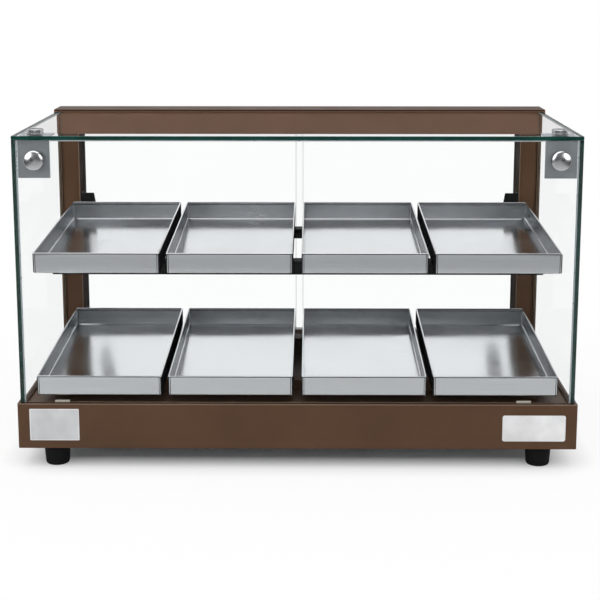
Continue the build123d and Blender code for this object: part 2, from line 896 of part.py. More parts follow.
def door_glass(y, side):
    """One door pane; side is -1 for the left door and 1 for the right."""
    reach = sorted((side * door_edge, -side * door_overlap / 2))
    return pane(reach[0], reach[1], y - door_thickness / 2, y + door_thickness / 2,
                door_bottom_z, door_top_z)


def door_pull(y, side):
    """A flat finger pull stuck to the back of a door, thin enough to pass the other one."""
    x = side * (door_edge - pull_edge_gap - pull_width / 2)
    z = base_top_z + pull_centre_rise
    stadium = Rot(0, 0, 90) * SlotOverall(pull_length, pull_width)
    body = extrude(stadium, pull_thickness)
    scoop = Rot(0, 0, 90) * SlotOverall(pull_length - 2 * pull_wall, pull_width - 2 * pull_wall)
    body -= Pos(0, 0, pull_thickness - pull_scoop_depth) * extrude(scoop, pull_thickness)
    return Pos(x, y + door_thickness / 2, z) * Rot(-90, 0, 0) * body


# Trays and what carries them

def sloped(shape, front_z):
    """Tips a level piece up at the back, about the trays' front edge at height front_z."""
    hinge = Pos(0, tray_front_y, front_z)
    return hinge * Rot(tray_slope, 0, 0) * hinge.inverse() * shape


def slope_z(y, front_z):
    """Height at depth y of the slope that starts at front_z under the trays' front edge."""
    return front_z + (y - tray_front_y) * math.tan(math.radians(tray_slope))


def tray(index, z):
    """One folded tray, counted from the left, with its front edge standing at height z."""
    x0 = -tray_row_half + index * (tray_width + tray_gap)
    if index >= tray_count / 2:
        x0 += tray_centre_gap - tray_gap
    x1 = x0 + tray_width
    body = block(x0, x1, tray_front_y, tray_back_y, z, z + tray_height)
    body = fillet(body.edges().filter_by(Axis.Z), tray_corner_radius)
    room = block(x0 + tray_wall, x1 - tray_wall, tray_front_y + tray_wall,
                 tray_back_y - tray_wall, z + tray_wall, z + tray_height - tray_hem_height)
    mouth = block(x0 + tray_hem_width, x1 - tray_hem_width, tray_front_y + tray_hem_width,
                  tray_back_y - tray_hem_width, z + tray_wall, z + tray_height + 1)
    return sloped(body - room - mouth, z)


def lower_runner(y0):
    """A folded strip on the deck, its top on the slope of the lower trays."""
    y1 = y0 + runner_width
    inner_y0 = y0 + runner_sheet
    inner_y1 = y1 - runner_sheet
    outside = [(y0, deck_z), (y1, deck_z), (y1, slope_z(y1, lower_tray_z)),
               (y0, slope_z(y0, lower_tray_z))]
    under = lower_tray_z - runner_sheet
    inside = [(inner_y0, deck_z), (inner_y1, deck_z), (inner_y1, slope_z(inner_y1, under)),
              (inner_y0, slope_z(inner_y0, under))]
    bar = prism(Plane.YZ, outside, 2 * runner_half) - prism(Plane.YZ, inside, 2 * runner_half)
    return Pos(-runner_half, 0, 0) * bar


def lower_runners():
    """The front and rear strips under the lower trays."""
    return group([lower_runner(runner_front_y), lower_runner(runner_back_y - runner_width)])


def shelf_rail(y0, leg_y0, leg_half):
    """An angle across the case: flat leg under the trays, upright leg at leg_y0."""
    flat = block(-arm_outer, arm_outer, y0, y0 + rail_width, upper_tray_z - rail_sheet,
                 upper_tray_z)
    leg = block(-leg_half, leg_half, leg_y0, leg_y0 + rail_sheet, upper_tray_z - rail_leg,
                upper_tray_z)
    return sloped(flat + leg, upper_tray_z)


def shelf_front_rail():
    """The rail that shows as a dark line under the upper trays."""
    return shelf_rail(runner_front_y, runner_front_y, arm_outer)


def shelf_rear_rail():
    """The rail under the back of the upper trays; its leg fits between the arms."""
    return shelf_rail(runner_back_y - rail_width, runner_back_y - rail_sheet,
                      arm_inner - seat_gap)


def shelf_arm():
    """The right arm, an angle that carries both rails out from the gusset."""
    top = upper_tray_z - rail_sheet
    y0 = runner_front_y + rail_sheet
    y1 = gusset_y + rail_width
    flat = block(arm_inner, arm_outer, y0, y1, top - rail_sheet, top)
    leg = block(arm_outer - rail_sheet, arm_outer, y0, y1, upper_tray_z - rail_leg, top)
    waste = block(arm_inner - 1, arm_outer + 1, gusset_y, y1 + rail_width, base_top_z, glass_top_z)
    return sloped(flat + leg, upper_tray_z) - waste


def shelf_side_screw_places():
    """Two screws, one above the other, from a gusset into its post."""
    y = gusset_y + gusset_sheet + gusset_return / 2
    rise = gusset_top_z - gusset_bottom_z
    return [(y, gusset_bottom_z + rise * share) for share in gusset_screw_shares]


def shelf_gusset():
    """The right black bracket between the post and the shelf's arm."""
    outline = [(post_inner, gusset_bottom_z), (post_inner - gusset_bottom_width, gusset_bottom_z),
               (post_inner - gusset_top_width, gusset_top_z), (post_inner, gusset_top_z)]
    web = Pos(0, gusset_y, 0) * prism(Plane.XZ, outline, -gusset_sheet)
    side = block(post_inner - gusset_sheet, post_inner, gusset_y,
                 gusset_y + gusset_sheet + gusset_return, gusset_bottom_z, gusset_top_z)
    body = web + side
    for y, z in shelf_side_screw_places():
        body -= rod_along_x(y, z, post_inner - gusset_sheet - 1, post_inner + 1,
                            gusset_screw_radius + hole_play)
    return body


def gusset_screws():
    """Screws through each gusset into its post, heads inwards."""
    length = gusset_sheet + post_wall + gusset_screw_bite
    screw = pan_screw(length, gusset_screw_radius, gusset_screw_head, screw_head_height)
    right = [Pos(post_inner - gusset_sheet, y, z) * Rot(0, -90, 0) * screw
             for y, z in shelf_side_screw_places()]
    return group(right + [mirrored(shape) for shape in right])


# Controls

def plate_screw_places():
    """Corners of the control plate, as x and z."""
    half = plate_length / 2 - plate_screw_margin
    rise = plate_height / 2 - plate_screw_margin
    middle = base_half - plate_side_inset - plate_length / 2
    return [(middle + a * half, control_z + b * rise) for a in (-1, 1) for b in (-1, 1)]


def control_plate():
    """The plate behind the knob, the switch and the lamp."""
    x1 = base_half - plate_side_inset
    plate = block(x1 - plate_length, x1, back_y, plate_back_y, control_z - plate_height / 2,
                  control_z + plate_height / 2)
    plate = fillet(plate.edges().filter_by(Axis.Y), plate_corner_radius)
    plate -= Pos(0, plate_thickness, 0) * base_rear_holes()
    for x, z in plate_screw_places():
        plate -= rod_along_y(x, z, back_y - 1, plate_back_y + 1, screw_radius + hole_play)
    return plate


def thermostat_body():
    """The thermostat behind the back wall, with the bush its shaft turns in."""
    half = thermostat_width / 2
    rise = thermostat_height / 2
    body = block(knob_x - half, knob_x + half, wall_y - thermostat_depth, wall_y,
                 control_z - rise, control_z + rise)
    body = body + rod_along_y(knob_x, control_z, wall_y - 1, plate_back_y + bush_proud,
                              bush_radius)
    return body - rod_along_y(knob_x, control_z, back_y - shaft_buried - seat_gap,
                              plate_back_y + knob_height, shaft_radius + shaft_play)


def thermostat_shaft():
    """The shaft that the knob is pushed onto."""
    return rod_along_y(knob_x, control_z, back_y - shaft_buried,
                       plate_back_y + knob_height - knob_cap, shaft_radius)


def thermostat_knob():
    """The dial: a flat skirt, a grip and a pointer ridge."""
    y0 = plate_back_y + knob_gap
    y1 = plate_back_y + knob_height
    skirt = rod_along_y(knob_x, control_z, y0, y0 + knob_skirt, knob_radius)
    skirt = fillet(skirt.edges().group_by(Axis.Y)[-1], knob_skirt_round)
    grip = rod_along_y(knob_x, control_z, y0, y1 - knob_ridge_rise, knob_grip_radius)
    grip = fillet(grip.edges().group_by(Axis.Y)[-1], knob_grip_round)
    ridge_half = knob_ridge_width / 2
    ridge = block(knob_x - ridge_half, knob_x + ridge_half, y0 + knob_skirt / 2, y1, control_z,
                  control_z + knob_ridge_reach)
    knob = skirt + grip + ridge
    knob -= rod_along_y(knob_x, control_z, y0 - 1, plate_back_y + bush_proud + knob_bush_room,
                        bush_radius + knob_bush_room)
    return knob - rod_along_y(knob_x, control_z, y0 - 1, plate_back_y + knob_height - knob_cap,
                              shaft_radius)


def switch_housing():
    """The rocker switch's body, bezel and the well its rocker moves in."""
    half = switch_width / 2
    rise = switch_height / 2
    body = block(switch_x - half, switch_x + half, plate_back_y - switch_depth, plate_back_y,
                 control_z - rise, control_z + rise)
    bezel = block(switch_x - half - bezel_border, switch_x + half + bezel_border, plate_back_y,
                  plate_back_y + bezel_thickness, control_z - rise - bezel_border,
                  control_z + rise + bezel_border)
    bezel = fillet(bezel.edges().filter_by(Axis.Y), bezel_corner_radius)
    pivot_y = plate_back_y + bezel_thickness - rocker_pivot_depth
    reach = rocker_radius + rocker_play
    well_half_x = rocker_width / 2 + rocker_play
    well = block(switch_x - well_half_x, switch_x + well_half_x, pivot_y - reach,
                 plate_back_y + bezel_thickness + 1, control_z - reach, control_z + reach)
    return body + bezel - well


def rocker_button():
    """The rocker, resting with its upper half raised, which is the off position."""
    pivot_y = plate_back_y + bezel_thickness - rocker_pivot_depth
    drum = rod_along_x(0, 0, -rocker_width / 2, rocker_width / 2, rocker_radius)
    reach = rocker_radius + rocker_crown
    for side in (-1, 1):
        cut = block(-rocker_width, rocker_width, 0, 2 * reach, 0, side * 2 * reach)
        drum -= Pos(0, rocker_crown, 0) * Rot(-side * rocker_tilt, 0, 0) * cut
    drum -= block(-rocker_width, rocker_width, -2 * reach, -rocker_back, -reach, reach)
    return Pos(switch_x, pivot_y, control_z) * Rot(-rocker_tilt, 0, 0) * drum


def pilot_lamp():
    """The lamp: a domed lens in a flange, with its body through the wall."""
    body = rod_along_y(lamp_x, control_z, plate_back_y - lamp_body_length, plate_back_y,
                       lamp_radius)
    flange = rod_along_y(lamp_x, control_z, plate_back_y, plate_back_y + lamp_flange,
                         lamp_flange_radius)
    lens = rod_along_y(lamp_x, control_z, plate_back_y, plate_back_y + lens_rise, lens_radius)
    lens = fillet(lens.edges().group_by(Axis.Y)[-1], lens_round)
    return body + flange + lens


def power_inlet():
    """The socket that a loose mains lead plugs into."""
    half = inlet_width / 2
    rise = inlet_height / 2
    body = block(inlet_x - half, inlet_x + half, back_y - inlet_depth, back_y,
                 control_z - rise, control_z + rise)
    flange = block(inlet_x - half - inlet_border, inlet_x + half + inlet_border, back_y,
                   back_y + inlet_flange, control_z - rise - inlet_border,
                   control_z + rise + inlet_border)
    flange = fillet(flange.edges().filter_by(Axis.Y), inlet_corner_radius)
    room = block(inlet_x - half + inlet_wall, inlet_x + half - inlet_wall,
                 back_y - inlet_depth + inlet_floor, back_y + inlet_flange + 1,
                 control_z - rise + inlet_wall, control_z + rise - inlet_wall)
    room = chamfer(room.edges().filter_by(Axis.Y).group_by(Axis.Z)[-1], inlet_key)
    inlet = body + flange - room
    for x, z in inlet_pin_places():
        inlet -= inlet_pin_at(x, z, 0)
    return inlet


def inlet_pin_places():
    """Two live pins below and the earth pin above, as x and z."""
    low = control_z - inlet_pin_offset
    return [(inlet_x - inlet_pin_pitch, low), (inlet_x + inlet_pin_pitch, low),
            (inlet_x, control_z + inlet_pin_offset)]


def inlet_pin_at(x, z, tail):
    """One flat pin, from behind the socket's floor to inside its mouth."""
    floor_y = back_y - inlet_depth + inlet_floor
    half = inlet_pin_thickness / 2
    rise = inlet_pin_width / 2
    return block(x - half, x + half, back_y - inlet_depth - tail, floor_y + inlet_pin_length,
                 z - rise, z + rise)


def inlet_pins():
    """The socket's three pins, with their solder tails."""
    return [inlet_pin_at(x, z, inlet_pin_tail) for x, z in inlet_pin_places()]


# Heater and wiring

def heating_element():
    """A tubular element bent into a long U under the deck."""
    radius = (heater_back_y - heater_front_y) / 2
    start = Line((heater_right_x, heater_front_y, heater_z),
                 (heater_left_x, heater_front_y, heater_z))
    bend = ThreePointArc((heater_left_x, heater_front_y, heater_z),
                         (heater_left_x - radius, (heater_front_y + heater_back_y) / 2, heater_z),
                         (heater_left_x, heater_back_y, heater_z))
    finish = Line((heater_left_x, heater_back_y, heater_z),
                  (heater_right_x, heater_back_y, heater_z))
    path = Wire(start.edges() + bend.edges() + finish.edges())
    section = Plane(origin=(heater_right_x, heater_front_y, heater_z), z_dir=(-1, 0, 0))
    tube = sweep(section * Circle(heater_radius), path=path)
    pins = [rod_along_x(y, heater_z, heater_right_x, heater_right_x + heater_pin_length,
                        heater_pin_radius) for y in (heater_front_y, heater_back_y)]
    return tube + pins[0] + pins[1]


def heater_supports():
    """Folded plates on the bottom cover that the element passes through."""
    supports = []
    for x in spread(heater_left_x + heater_support_inset, heater_right_x - heater_support_inset,
                    heater_support_count):
        y0 = heater_front_y - heater_radius - support_margin
        y1 = heater_back_y + heater_radius + support_margin
        web = block(x, x + support_sheet, y0, y1, cover_top_z,
                    heater_z + heater_radius + support_sheet * 2)
        foot_strip = block(x, x + support_foot, y0, y1, cover_top_z,
                           cover_top_z + support_sheet)
        support = web + foot_strip
        for y in (heater_front_y, heater_back_y):
            support -= rod_along_x(y, heater_z, x - 1, x + support_sheet + 1,
                                   heater_radius + support_play)
        supports.append(support)
    return group(supports)


def bulb_z():
    """The sensing bulb lies just under the deck plate."""
    return deck_z - deck_sheet - bulb_clip_wall - bulb_radius


def sensing_bulb():
    """The sensing bulb and the thin tube that joins it to the thermostat."""
    z = bulb_z()
    x1 = bulb_centre_x + bulb_length / 2
    bulb = rod_along_x(bulb_y, z, bulb_centre_x - bulb_length / 2, x1, bulb_radius)
    inner_y = wall_y - thermostat_depth
    start = (x1 - bulb_joint, bulb_y, z)
    path = FilletPolyline(start, (knob_x, bulb_y, z), (knob_x, bulb_y, control_z),
                          (knob_x, inner_y, control_z), radius=wire_bend)
    section = Plane(origin=start, z_dir=(1, 0, 0))
    return bulb + sweep(section * Circle(capillary_radius), path=path)


def bulb_clips():
    """Two straps under the deck plate round the sensing bulb."""
    z = bulb_z()
    reach = bulb_radius + bulb_clip_wall
    half = bulb_clip_width / 2
    strap = block(-half, half, bulb_y - reach, bulb_y + reach, z - reach, deck_z - deck_sheet)
    strap -= rod_along_x(bulb_y, z, -half - 1, half + 1, bulb_radius)
    places = (bulb_centre_x - bulb_length / 4, bulb_centre_x + bulb_length / 4)
    return [Pos(x, 0, 0) * strap for x in places]


def terminal_block():
    """The connector block on the bottom cover, with its wire bores."""
    body = block(block_x - block_length / 2, block_x + block_length / 2, block_y,
                 block_y + block_width, cover_top_z, cover_top_z + block_height)
    for x in block_way_places():
        for y in (block_y + block_bore_inset, block_y + block_width - block_bore_inset):
            body -= rod(x, y, cover_top_z + block_height / 2, cover_top_z + block_height + 1,
                        block_bore_radius)
    return body


def block_way_places():
    """The terminal block's ways along X."""
    reach = block_length * (block_ways - 1) / block_ways / 2
    return spread(block_x - reach, block_x + reach, block_ways)


def wire(points, direction):
    """A round wire along straight runs joined by arcs."""
    path = FilletPolyline(*points, radius=wire_bend)
    section = Plane(origin=points[0], z_dir=direction)
    return sweep(section * Circle(wire_radius), path=path)


def internal_wires():
    """Wires from the inlet to the block, and on to the switch, thermostat and element."""
    wires = []
    pin_end = back_y - inlet_depth - inlet_pin_tail
    block_back = block_y + block_width
    wire_z = cover_top_z + block_entry_rise
    turn_y = (pin_end + block_back) / 2
    for (x, z), target in zip(inlet_pin_places(), block_way_places()):
        wires.append(wire([(x, pin_end, z), (x, turn_y, z), (x, turn_y, wire_z),
                           (target, turn_y, wire_z), (target, block_back, wire_z)], (0, -1, 0)))
    switch_y = plate_back_y - switch_depth
    live_x = block_x + block_length / 2
    live_y = block_y + block_bore_inset
    wires.append(wire([(live_x, live_y, wire_z), (switch_x, live_y, wire_z),
                       (switch_x, live_y, control_z), (switch_x, switch_y, control_z)],
                      (1, 0, 0)))
    pin_x = heater_right_x + heater_pin_length
    tag_x = knob_x + thermostat_tag_aside
    tag_z = heater_z - thermostat_tag_drop
    wires.append(wire([(pin_x, heater_front_y, heater_z), (tag_x, heater_front_y, heater_z),
                       (tag_x, heater_front_y, tag_z),
                       (tag_x, wall_y - thermostat_depth, tag_z)], (1, 0, 0)))
    return group(wires)


def nodes():
    """Every node of the case by name."""
    made = {
        "base_housing": base_housing(),
        "deck_plate": deck_plate(),
        "bottom_cover": bottom_cover(),
        "pan_screws": pan_screws(),
        "feet": feet(),
        "foot_fixings": foot_fixings(),
        "front_glass": front_glass(),
        "side_glass_right": side_glass(),
        "side_glass_left": mirrored(side_glass()),
        "top_glass": top_glass(),
        "glazing_gaskets": glazing_gaskets(),
        "silicone_beads": silicone_beads(),
        "glazing_clips": glazing_clips(),
        "corner_bracket_right": corner_bracket(),
        "corner_bracket_left": mirrored(corner_bracket()),
        "front_buttons": both_sides(to_front(Pos(0, 0, button_washer) * button(button_radius))),
        "top_buttons": both_sides(to_top(Pos(0, 0, button_washer) * button(top_button_radius))),
        "button_washers": bracket_washers(),
        "button_nuts": bracket_nuts(),
        "post_right": post(),
        "post_left": mirrored(post()),
        "post_bolts": post_bolts(),
        "header_beam": header_beam(),
        "header_cap_right": header_end_cap(),
        "header_cap_left": mirrored(header_end_cap()),
        "end_cap_screws": end_cap_screws(),
        "door_track_top": door_track_top(),
        "door_track_bottom": door_track_bottom(),
        "door_left": door_glass(inner_door_y, -1),
        "door_right": door_glass(outer_door_y, 1),
        "door_pull_left": door_pull(inner_door_y, -1),
        "door_pull_right": door_pull(outer_door_y, 1),
        "lower_runners": lower_runners(),
        "shelf_front_rail": shelf_front_rail(),
        "shelf_rear_rail": shelf_rear_rail(),
        "shelf_arms": both_sides(shelf_arm()),
        "shelf_gussets": both_sides(shelf_gusset()),
        "gusset_screws": gusset_screws(),
        "control_plate": control_plate(),
        "thermostat_body": thermostat_body(),
        "thermostat_shaft": thermostat_shaft(),
        "thermostat_knob": thermostat_knob(),
        "sensing_bulb": group([sensing_bulb()] + bulb_clips()),
        "switch_housing": switch_housing(),
        "rocker_button": rocker_button(),
        "pilot_lamp": pilot_lamp(),
        "power_inlet": group([power_inlet()] + inlet_pins()),
        "heating_element": heating_element(),
        "heater_supports": heater_supports(),
        "terminal_block": terminal_block(),
        "internal_wires": internal_wires(),
    }
    for index in range(tray_count):
        made[f"tray_upper_{index + 1}"] = tray(index, upper_tray_z)
        made[f"tray_lower_{index + 1}"] = tray(index, lower_tray_z)
    return made


for name, shape in nodes().items():
    export_step(shape, f"parts/{name}.step")
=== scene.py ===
import math

import bmesh
import bpy
from bpy.props import FloatProperty, FloatVectorProperty, IntProperty, PointerProperty
from mathutils import Matrix, Vector
from mathutils.bvhtree import BVHTree


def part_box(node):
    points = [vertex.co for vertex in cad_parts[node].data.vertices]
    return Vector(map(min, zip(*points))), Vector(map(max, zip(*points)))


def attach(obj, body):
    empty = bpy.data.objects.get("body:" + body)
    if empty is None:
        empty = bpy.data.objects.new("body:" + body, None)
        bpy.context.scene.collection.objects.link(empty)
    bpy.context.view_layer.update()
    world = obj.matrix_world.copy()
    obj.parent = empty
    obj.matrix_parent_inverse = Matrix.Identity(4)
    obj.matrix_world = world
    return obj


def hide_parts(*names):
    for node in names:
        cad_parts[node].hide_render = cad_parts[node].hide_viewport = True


bl_info = {
    "name": "Food display case",
    "version": (1, 0, 0),
    "blender": (4, 5, 0),
    "location": "3D View > Sidebar > Display Case",
    "description": "Dresses a counter-top food display case in glass, steel and brown powder coat",
    "category": "Object",
}

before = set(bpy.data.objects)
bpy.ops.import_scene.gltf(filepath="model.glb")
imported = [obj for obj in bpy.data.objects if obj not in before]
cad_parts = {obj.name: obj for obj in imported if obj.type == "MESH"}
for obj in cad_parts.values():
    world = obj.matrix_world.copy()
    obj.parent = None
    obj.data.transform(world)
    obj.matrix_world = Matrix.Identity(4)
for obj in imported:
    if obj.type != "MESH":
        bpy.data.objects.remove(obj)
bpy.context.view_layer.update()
MM = 0.001
BROWN_NODES = ("base_housing", "deck_plate", "lower_runners")
TRAY_NODES = [f"tray_{row}_{place}" for row in ("upper", "lower") for place in (1, 2, 3, 4)]
# The sides of the groove in a post, as distances from the middle of the case
GROOVE = (0.3745, 0.3808)
# The zones of a tray's wall
OUTSIDE, RIM, INSIDE, FLOOR = range(4)
SEAM_DEPTH = 0.0003
# Noise scales along and across the brushing lines
BRUSH_ALONG, BRUSH_ACROSS = 9.0, 1500.0
BUTTON_HEIGHT = 0.008
# How far the printed marks stand out, and how deep they are sunk
PRINT_RISE, PRINT_SINK = 0.00008, -0.0001
WHITE = (1.0, 1.0, 1.0, 1.0)


# Settings that a user would change

def colour_of(name, description, value):
    """A colour in a group of settings."""
    return FloatVectorProperty(name=name, description=description, subtype="COLOR", size=3,
                               default=value)


def length_of(name, description, value):
    """A length in a group of settings."""
    return FloatProperty(name=name, description=description, unit="LENGTH", default=value)


def angle_of(name, description, value):
    """An angle in a group of settings."""
    return FloatProperty(name=name, description=description, subtype="ANGLE", default=value)


def share_of(name, description, value):
    """A share from nought to one in a group of settings."""
    return FloatProperty(name=name, description=description, min=0.0, max=1.0, default=value)


class GlassSettings(bpy.types.PropertyGroup):
    """Colours of the float glass."""
    tint: colour_of("Tint", "Colour of the glass seen through its faces", (0.994, 0.998, 0.996))
    # The side and top tints are painted shade: darker than the glass itself, for the light these
    # panes reflect away when seen at a low angle.
    side_tint: colour_of("Side tint", "Colour seen through the two side panes",
                         (0.978, 0.982, 0.981))
    top_tint: colour_of("Top tint", "Colour seen through the top pane", (0.926, 0.922, 0.922))
    mirror: share_of("Mirror", "Share of the glass's reflections that is kept", 0.06)
    skin: length_of("Skin", "Gap between a pane and what touches it", 0.0001)
    edge: colour_of("Edge colour", "Colour that gathers in the ground edges",
                    (0.003, 0.04, 0.03))
    door_edge: colour_of("Door edge colour", "Colour in the edges of the thinner door panes",
                         (0.045, 0.13, 0.105))


class PaintSettings(bpy.types.PropertyGroup):
    """The powder coats."""
    brown: colour_of("Brown", "Colour of the base, deck and posts", (0.104, 0.056, 0.032))
    # Painted light: the header's brown is lighter than the rest of the brown, for the extra light
    # that falls on it.
    header: colour_of("Header", "Colour of the header beam, which catches more light",
                      (0.2, 0.108, 0.066))
    # Painted shade: the header's upper side is painted darker than its front, for how light falls
    # on it.
    header_top: colour_of("Header top", "Colour of the header's upper side",
                          (0.084, 0.05, 0.036))
    # Painted reflection: a near black bar along the header's front fold stands in for the dark
    # seen mirrored in the bend.
    header_fold: colour_of("Header fold", "Colour of the dark line along the header's front fold",
                           (0.02, 0.012, 0.01))
    # Painted shade: a near black brown on the inner sides of the posts, where shade falls.
    channel: colour_of("Channel", "Colour of the lining on the inner sides of the posts",
                       (0.03, 0.019, 0.014))
    # Painted highlight: thin bars in a lighter brown stand in for the light caught by the edges of
    # the posts' grooves and the base's top edges.
    lip: colour_of("Lip", "Colour of the bright lips along the posts' grooves",
                   (0.24, 0.165, 0.12))
    black: colour_of("Black", "Colour of the shelf's rails and gussets", (0.012, 0.012, 0.013))
    peel: share_of("Orange peel", "Strength of the fine texture in the coat", 0.09)


class TraySettings(bpy.types.PropertyGroup):
    """One folded stainless tray."""
    slope: angle_of("Slope", "How far the tray tips forward", math.radians(3.0))
    height: length_of("Height", "Height of the tray's walls", 0.0285)
    wall: length_of("Sheet", "Thickness of the sheet", 0.0009)
    hem_width: length_of("Hem width", "Width of the folded rim", 0.002)
    hem_height: length_of("Hem height", "Height of the folded rim", 0.004)
    bend: length_of("Bend", "Outer radius where the floor turns up", 0.0024)
    corner: length_of("Corner radius", "Outer radius of the upright corners", 0.0016)
    seam: length_of("Seam", "Place of the welded seam from the tray's end", 0.0028)
    # The dark lines along the rims are painted: a dark reflection under the roll outside and shade
    # under the hem inside.
    line: length_of("Line", "Width of the dark lines along the rims", 0.0009)
    side_shade: share_of("Side shine", "How bright the inner walls are at a low angle", 0.3)
    # Seams are dark joints; the same colour paints shade on walls beside another tray and on the
    # rims' lines.
    seam_colour: colour_of("Seam colour", "Colour of seams and of walls beside another tray",
                           (0.022, 0.022, 0.024))
    colour: colour_of("Steel", "Colour of the brushed steel", (0.765, 0.785, 0.81))


class ScrewSettings(bpy.types.PropertyGroup):
    """Pan-head screws with a cross recess."""
    head_radius: length_of("Head radius", "Radius of a screw's head", 0.0038)
    head_height: length_of("Head height", "Height of a screw's head", 0.0022)
    shank_radius: length_of("Shank radius", "Radius of a screw's shank", 0.002)
    shank_length: length_of("Shank length", "Length of a screw's shank", 0.006)
    recess_width: length_of("Recess width", "Width of each slot of the cross", 0.0009)
    sides: IntProperty(name="Sides", description="Sides of a screw's head", min=12, default=36)


class ControlSettings(bpy.types.PropertyGroup):
    """The knob and the marks round it."""
    flutes: IntProperty(name="Flutes", description="Ribs round the knob's grip", default=30)
    numbers: IntProperty(name="Numbers", description="Numbers round the knob", default=10)
    number_step: angle_of("Number step", "Angle between two numbers", math.radians(30.0))
    ring: length_of("Number ring", "Radius of the ring of numbers", 0.0226)
    print_white: colour_of("Print", "Colour of the printed marks", (0.78, 0.78, 0.76))


class StageSettings(bpy.types.PropertyGroup):
    """The camera and the light."""
    lens: FloatProperty(name="Lens", description="Focal length in millimetres", default=84.0)
    shift: FloatProperty(name="Shift", description="Vertical shift of the view", default=-0.1)
    pitch: angle_of("Pitch", "How far the camera looks down", 0.18639)
    yaw: angle_of("Yaw", "How far the camera turns to the left", 0.00807)
    place: FloatVectorProperty(
        name="Camera", description="Where the camera stands", subtype="TRANSLATION", size=3,
        default=(0.018804, -2.052049, 0.668562))
    sky: FloatProperty(name="Sky", description="Strength of the light all round", default=0.62)
    room: FloatProperty(
        name="Room", description="How bright the room in front looks in metal", default=0.13)


# Mesh helpers

def smooth(mesh, angle):
    """Shades a mesh smooth except across edges sharper than an angle in degrees."""
    mesh.polygons.foreach_set("use_smooth", [True] * len(mesh.polygons))
    mesh.set_sharp_from_angle(angle=math.radians(angle))


def mesh_from(bm, name, smooth_angle=30.0):
    """A mesh from edit data, smooth except across its sharp edges."""
    mesh = bpy.data.meshes.new(name)
    bm.to_mesh(mesh)
    bm.free()
    smooth(mesh, smooth_angle)
    return mesh


def joined(*meshes):
    """Edit data that holds several meshes, all in the first material."""
    bm = bmesh.new()
    for mesh in meshes:
        bm.from_mesh(mesh)
    for each in bm.faces:
        each.material_index = 0
    return bm


def second_slot(bm, start):
    """Gives every face after the first ones the second material."""
    bm.faces.ensure_lookup_table()
    for each in bm.faces[start:]:
        each.material_index = 1


def rotation(degrees, axis):
    """A turn about an axis, in degrees."""
    return Matrix.Rotation(math.radians(degrees), 4, axis)


def add_piece(name, shape, materials, body, replaced=(), smooth_angle=30.0):
    """Puts a mesh or edit data in the scene as a piece and ties it to a body of the case."""
    is_mesh = isinstance(shape, bpy.types.Mesh)
    mesh = shape if is_mesh else mesh_from(shape, name, smooth_angle)
    for material in materials:
        mesh.materials.append(material)
    piece = bpy.data.objects.new(name, mesh)
    bpy.context.scene.collection.objects.link(piece)
    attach(piece, body)
    if replaced:
        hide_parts(*replaced)
    return piece


def dress(names, material):
    """Gives nodes of the case a material."""
    for name in names:
        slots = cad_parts[name].data.materials
        slots.clear()
        slots.append(material)


def merged_copy(node):
    """The mesh of a node as edit data, with its loose triangles joined."""
    bm = bmesh.new()
    bm.from_mesh(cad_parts[node].data)
    bmesh.ops.remove_doubles(bm, verts=bm.verts, dist=0.002 * MM)
    return bm


def islands(bm):
    """The separate solids in edit data, as lists of faces."""
    left = set(bm.faces)
    found = []
    while left:
        first = left.pop()
        group = [first]
        queue = [first]
        while queue:
            face = queue.pop()
            for edge in face.edges:
                for other in edge.link_faces:
                    if other in left:
                        left.remove(other)
                        group.append(other)
                        queue.append(other)
        found.append(group)
    return found


def face_box(faces):
    """Lowest and highest corner of a list of faces."""
    points = [vert.co for face in faces for vert in face.verts]
    low = Vector([min(point[axis] for point in points) for axis in range(3)])
    high = Vector([max(point[axis] for point in points) for axis in range(3)])
    return low, high


def node_islands(node):
    """Lowest corner, highest corner and middle of a node's solids, from left to right."""
    bm = merged_copy(node)
    boxes = [face_box(group) for group in islands(bm)]
    bm.free()
    boxes.sort(key=lambda box: (round(box[0].x, 4), round(box[0].y, 4), box[0].z))
    return [(low, high, (low + high) / 2) for low, high in boxes]


def band(bm, low, high):
    """The faces between two rings of points, or between a ring and a pole."""
    count = max(len(low), len(high))
    faces = []
    for index in range(count if count > 1 else 0):
        after = (index + 1) % count
        if len(low) == 1:
            corners = (low[0], high[after], high[index])
        elif len(high) == 1:
            corners = (low[index], low[after], high[0])
        else:
            corners = (low[index], low[after], high[after], high[index])
        faces.append(bm.faces.new(corners))
    return faces


def lathe(bm, profile, segments, place=Matrix.Identity(4), closed=False):
    """Turns a profile of radius and height round Z; points on the axis become poles."""
    rings = []
    for radius, height in profile:
        if radius < 1e-7:
            rings.append([bm.verts.new(place @ Vector((0, 0, height)))])
            continue
        ring = []
        for index in range(segments):
            turn = 2 * math.pi * index / segments
            point = Vector((radius * math.cos(turn), radius * math.sin(turn), height))
            ring.append(bm.verts.new(place @ point))
        rings.append(ring)
    pairs = list(zip(rings, rings[1:]))
    if closed:
        pairs.append((rings[-1], rings[0]))
    faces = [face for low, high in pairs for face in band(bm, low, high)]
    bmesh.ops.recalc_face_normals(bm, faces=faces)


def arc(centre, radius, start, end, steps):
    """Points of an arc, with its angles in degrees."""
    points = []
    for index in range(steps + 1):
        turn = math.radians(start + (end - start) * index / steps)
        points.append((centre[0] + radius * math.cos(turn), centre[1] + radius * math.sin(turn)))
    return points


def rounded_rectangle(x0, x1, y0, y1, radius, steps):
    """Points round a rectangle with rounded corners, anticlockwise from the right."""
    points = []
    corners = ((x1 - radius, y0 + radius, -90), (x1 - radius, y1 - radius, 0),
               (x0 + radius, y1 - radius, 90), (x0 + radius, y0 + radius, 180))
    for x, y, start in corners:
        points += arc((x, y), radius, start, start + 90, steps)
    return points


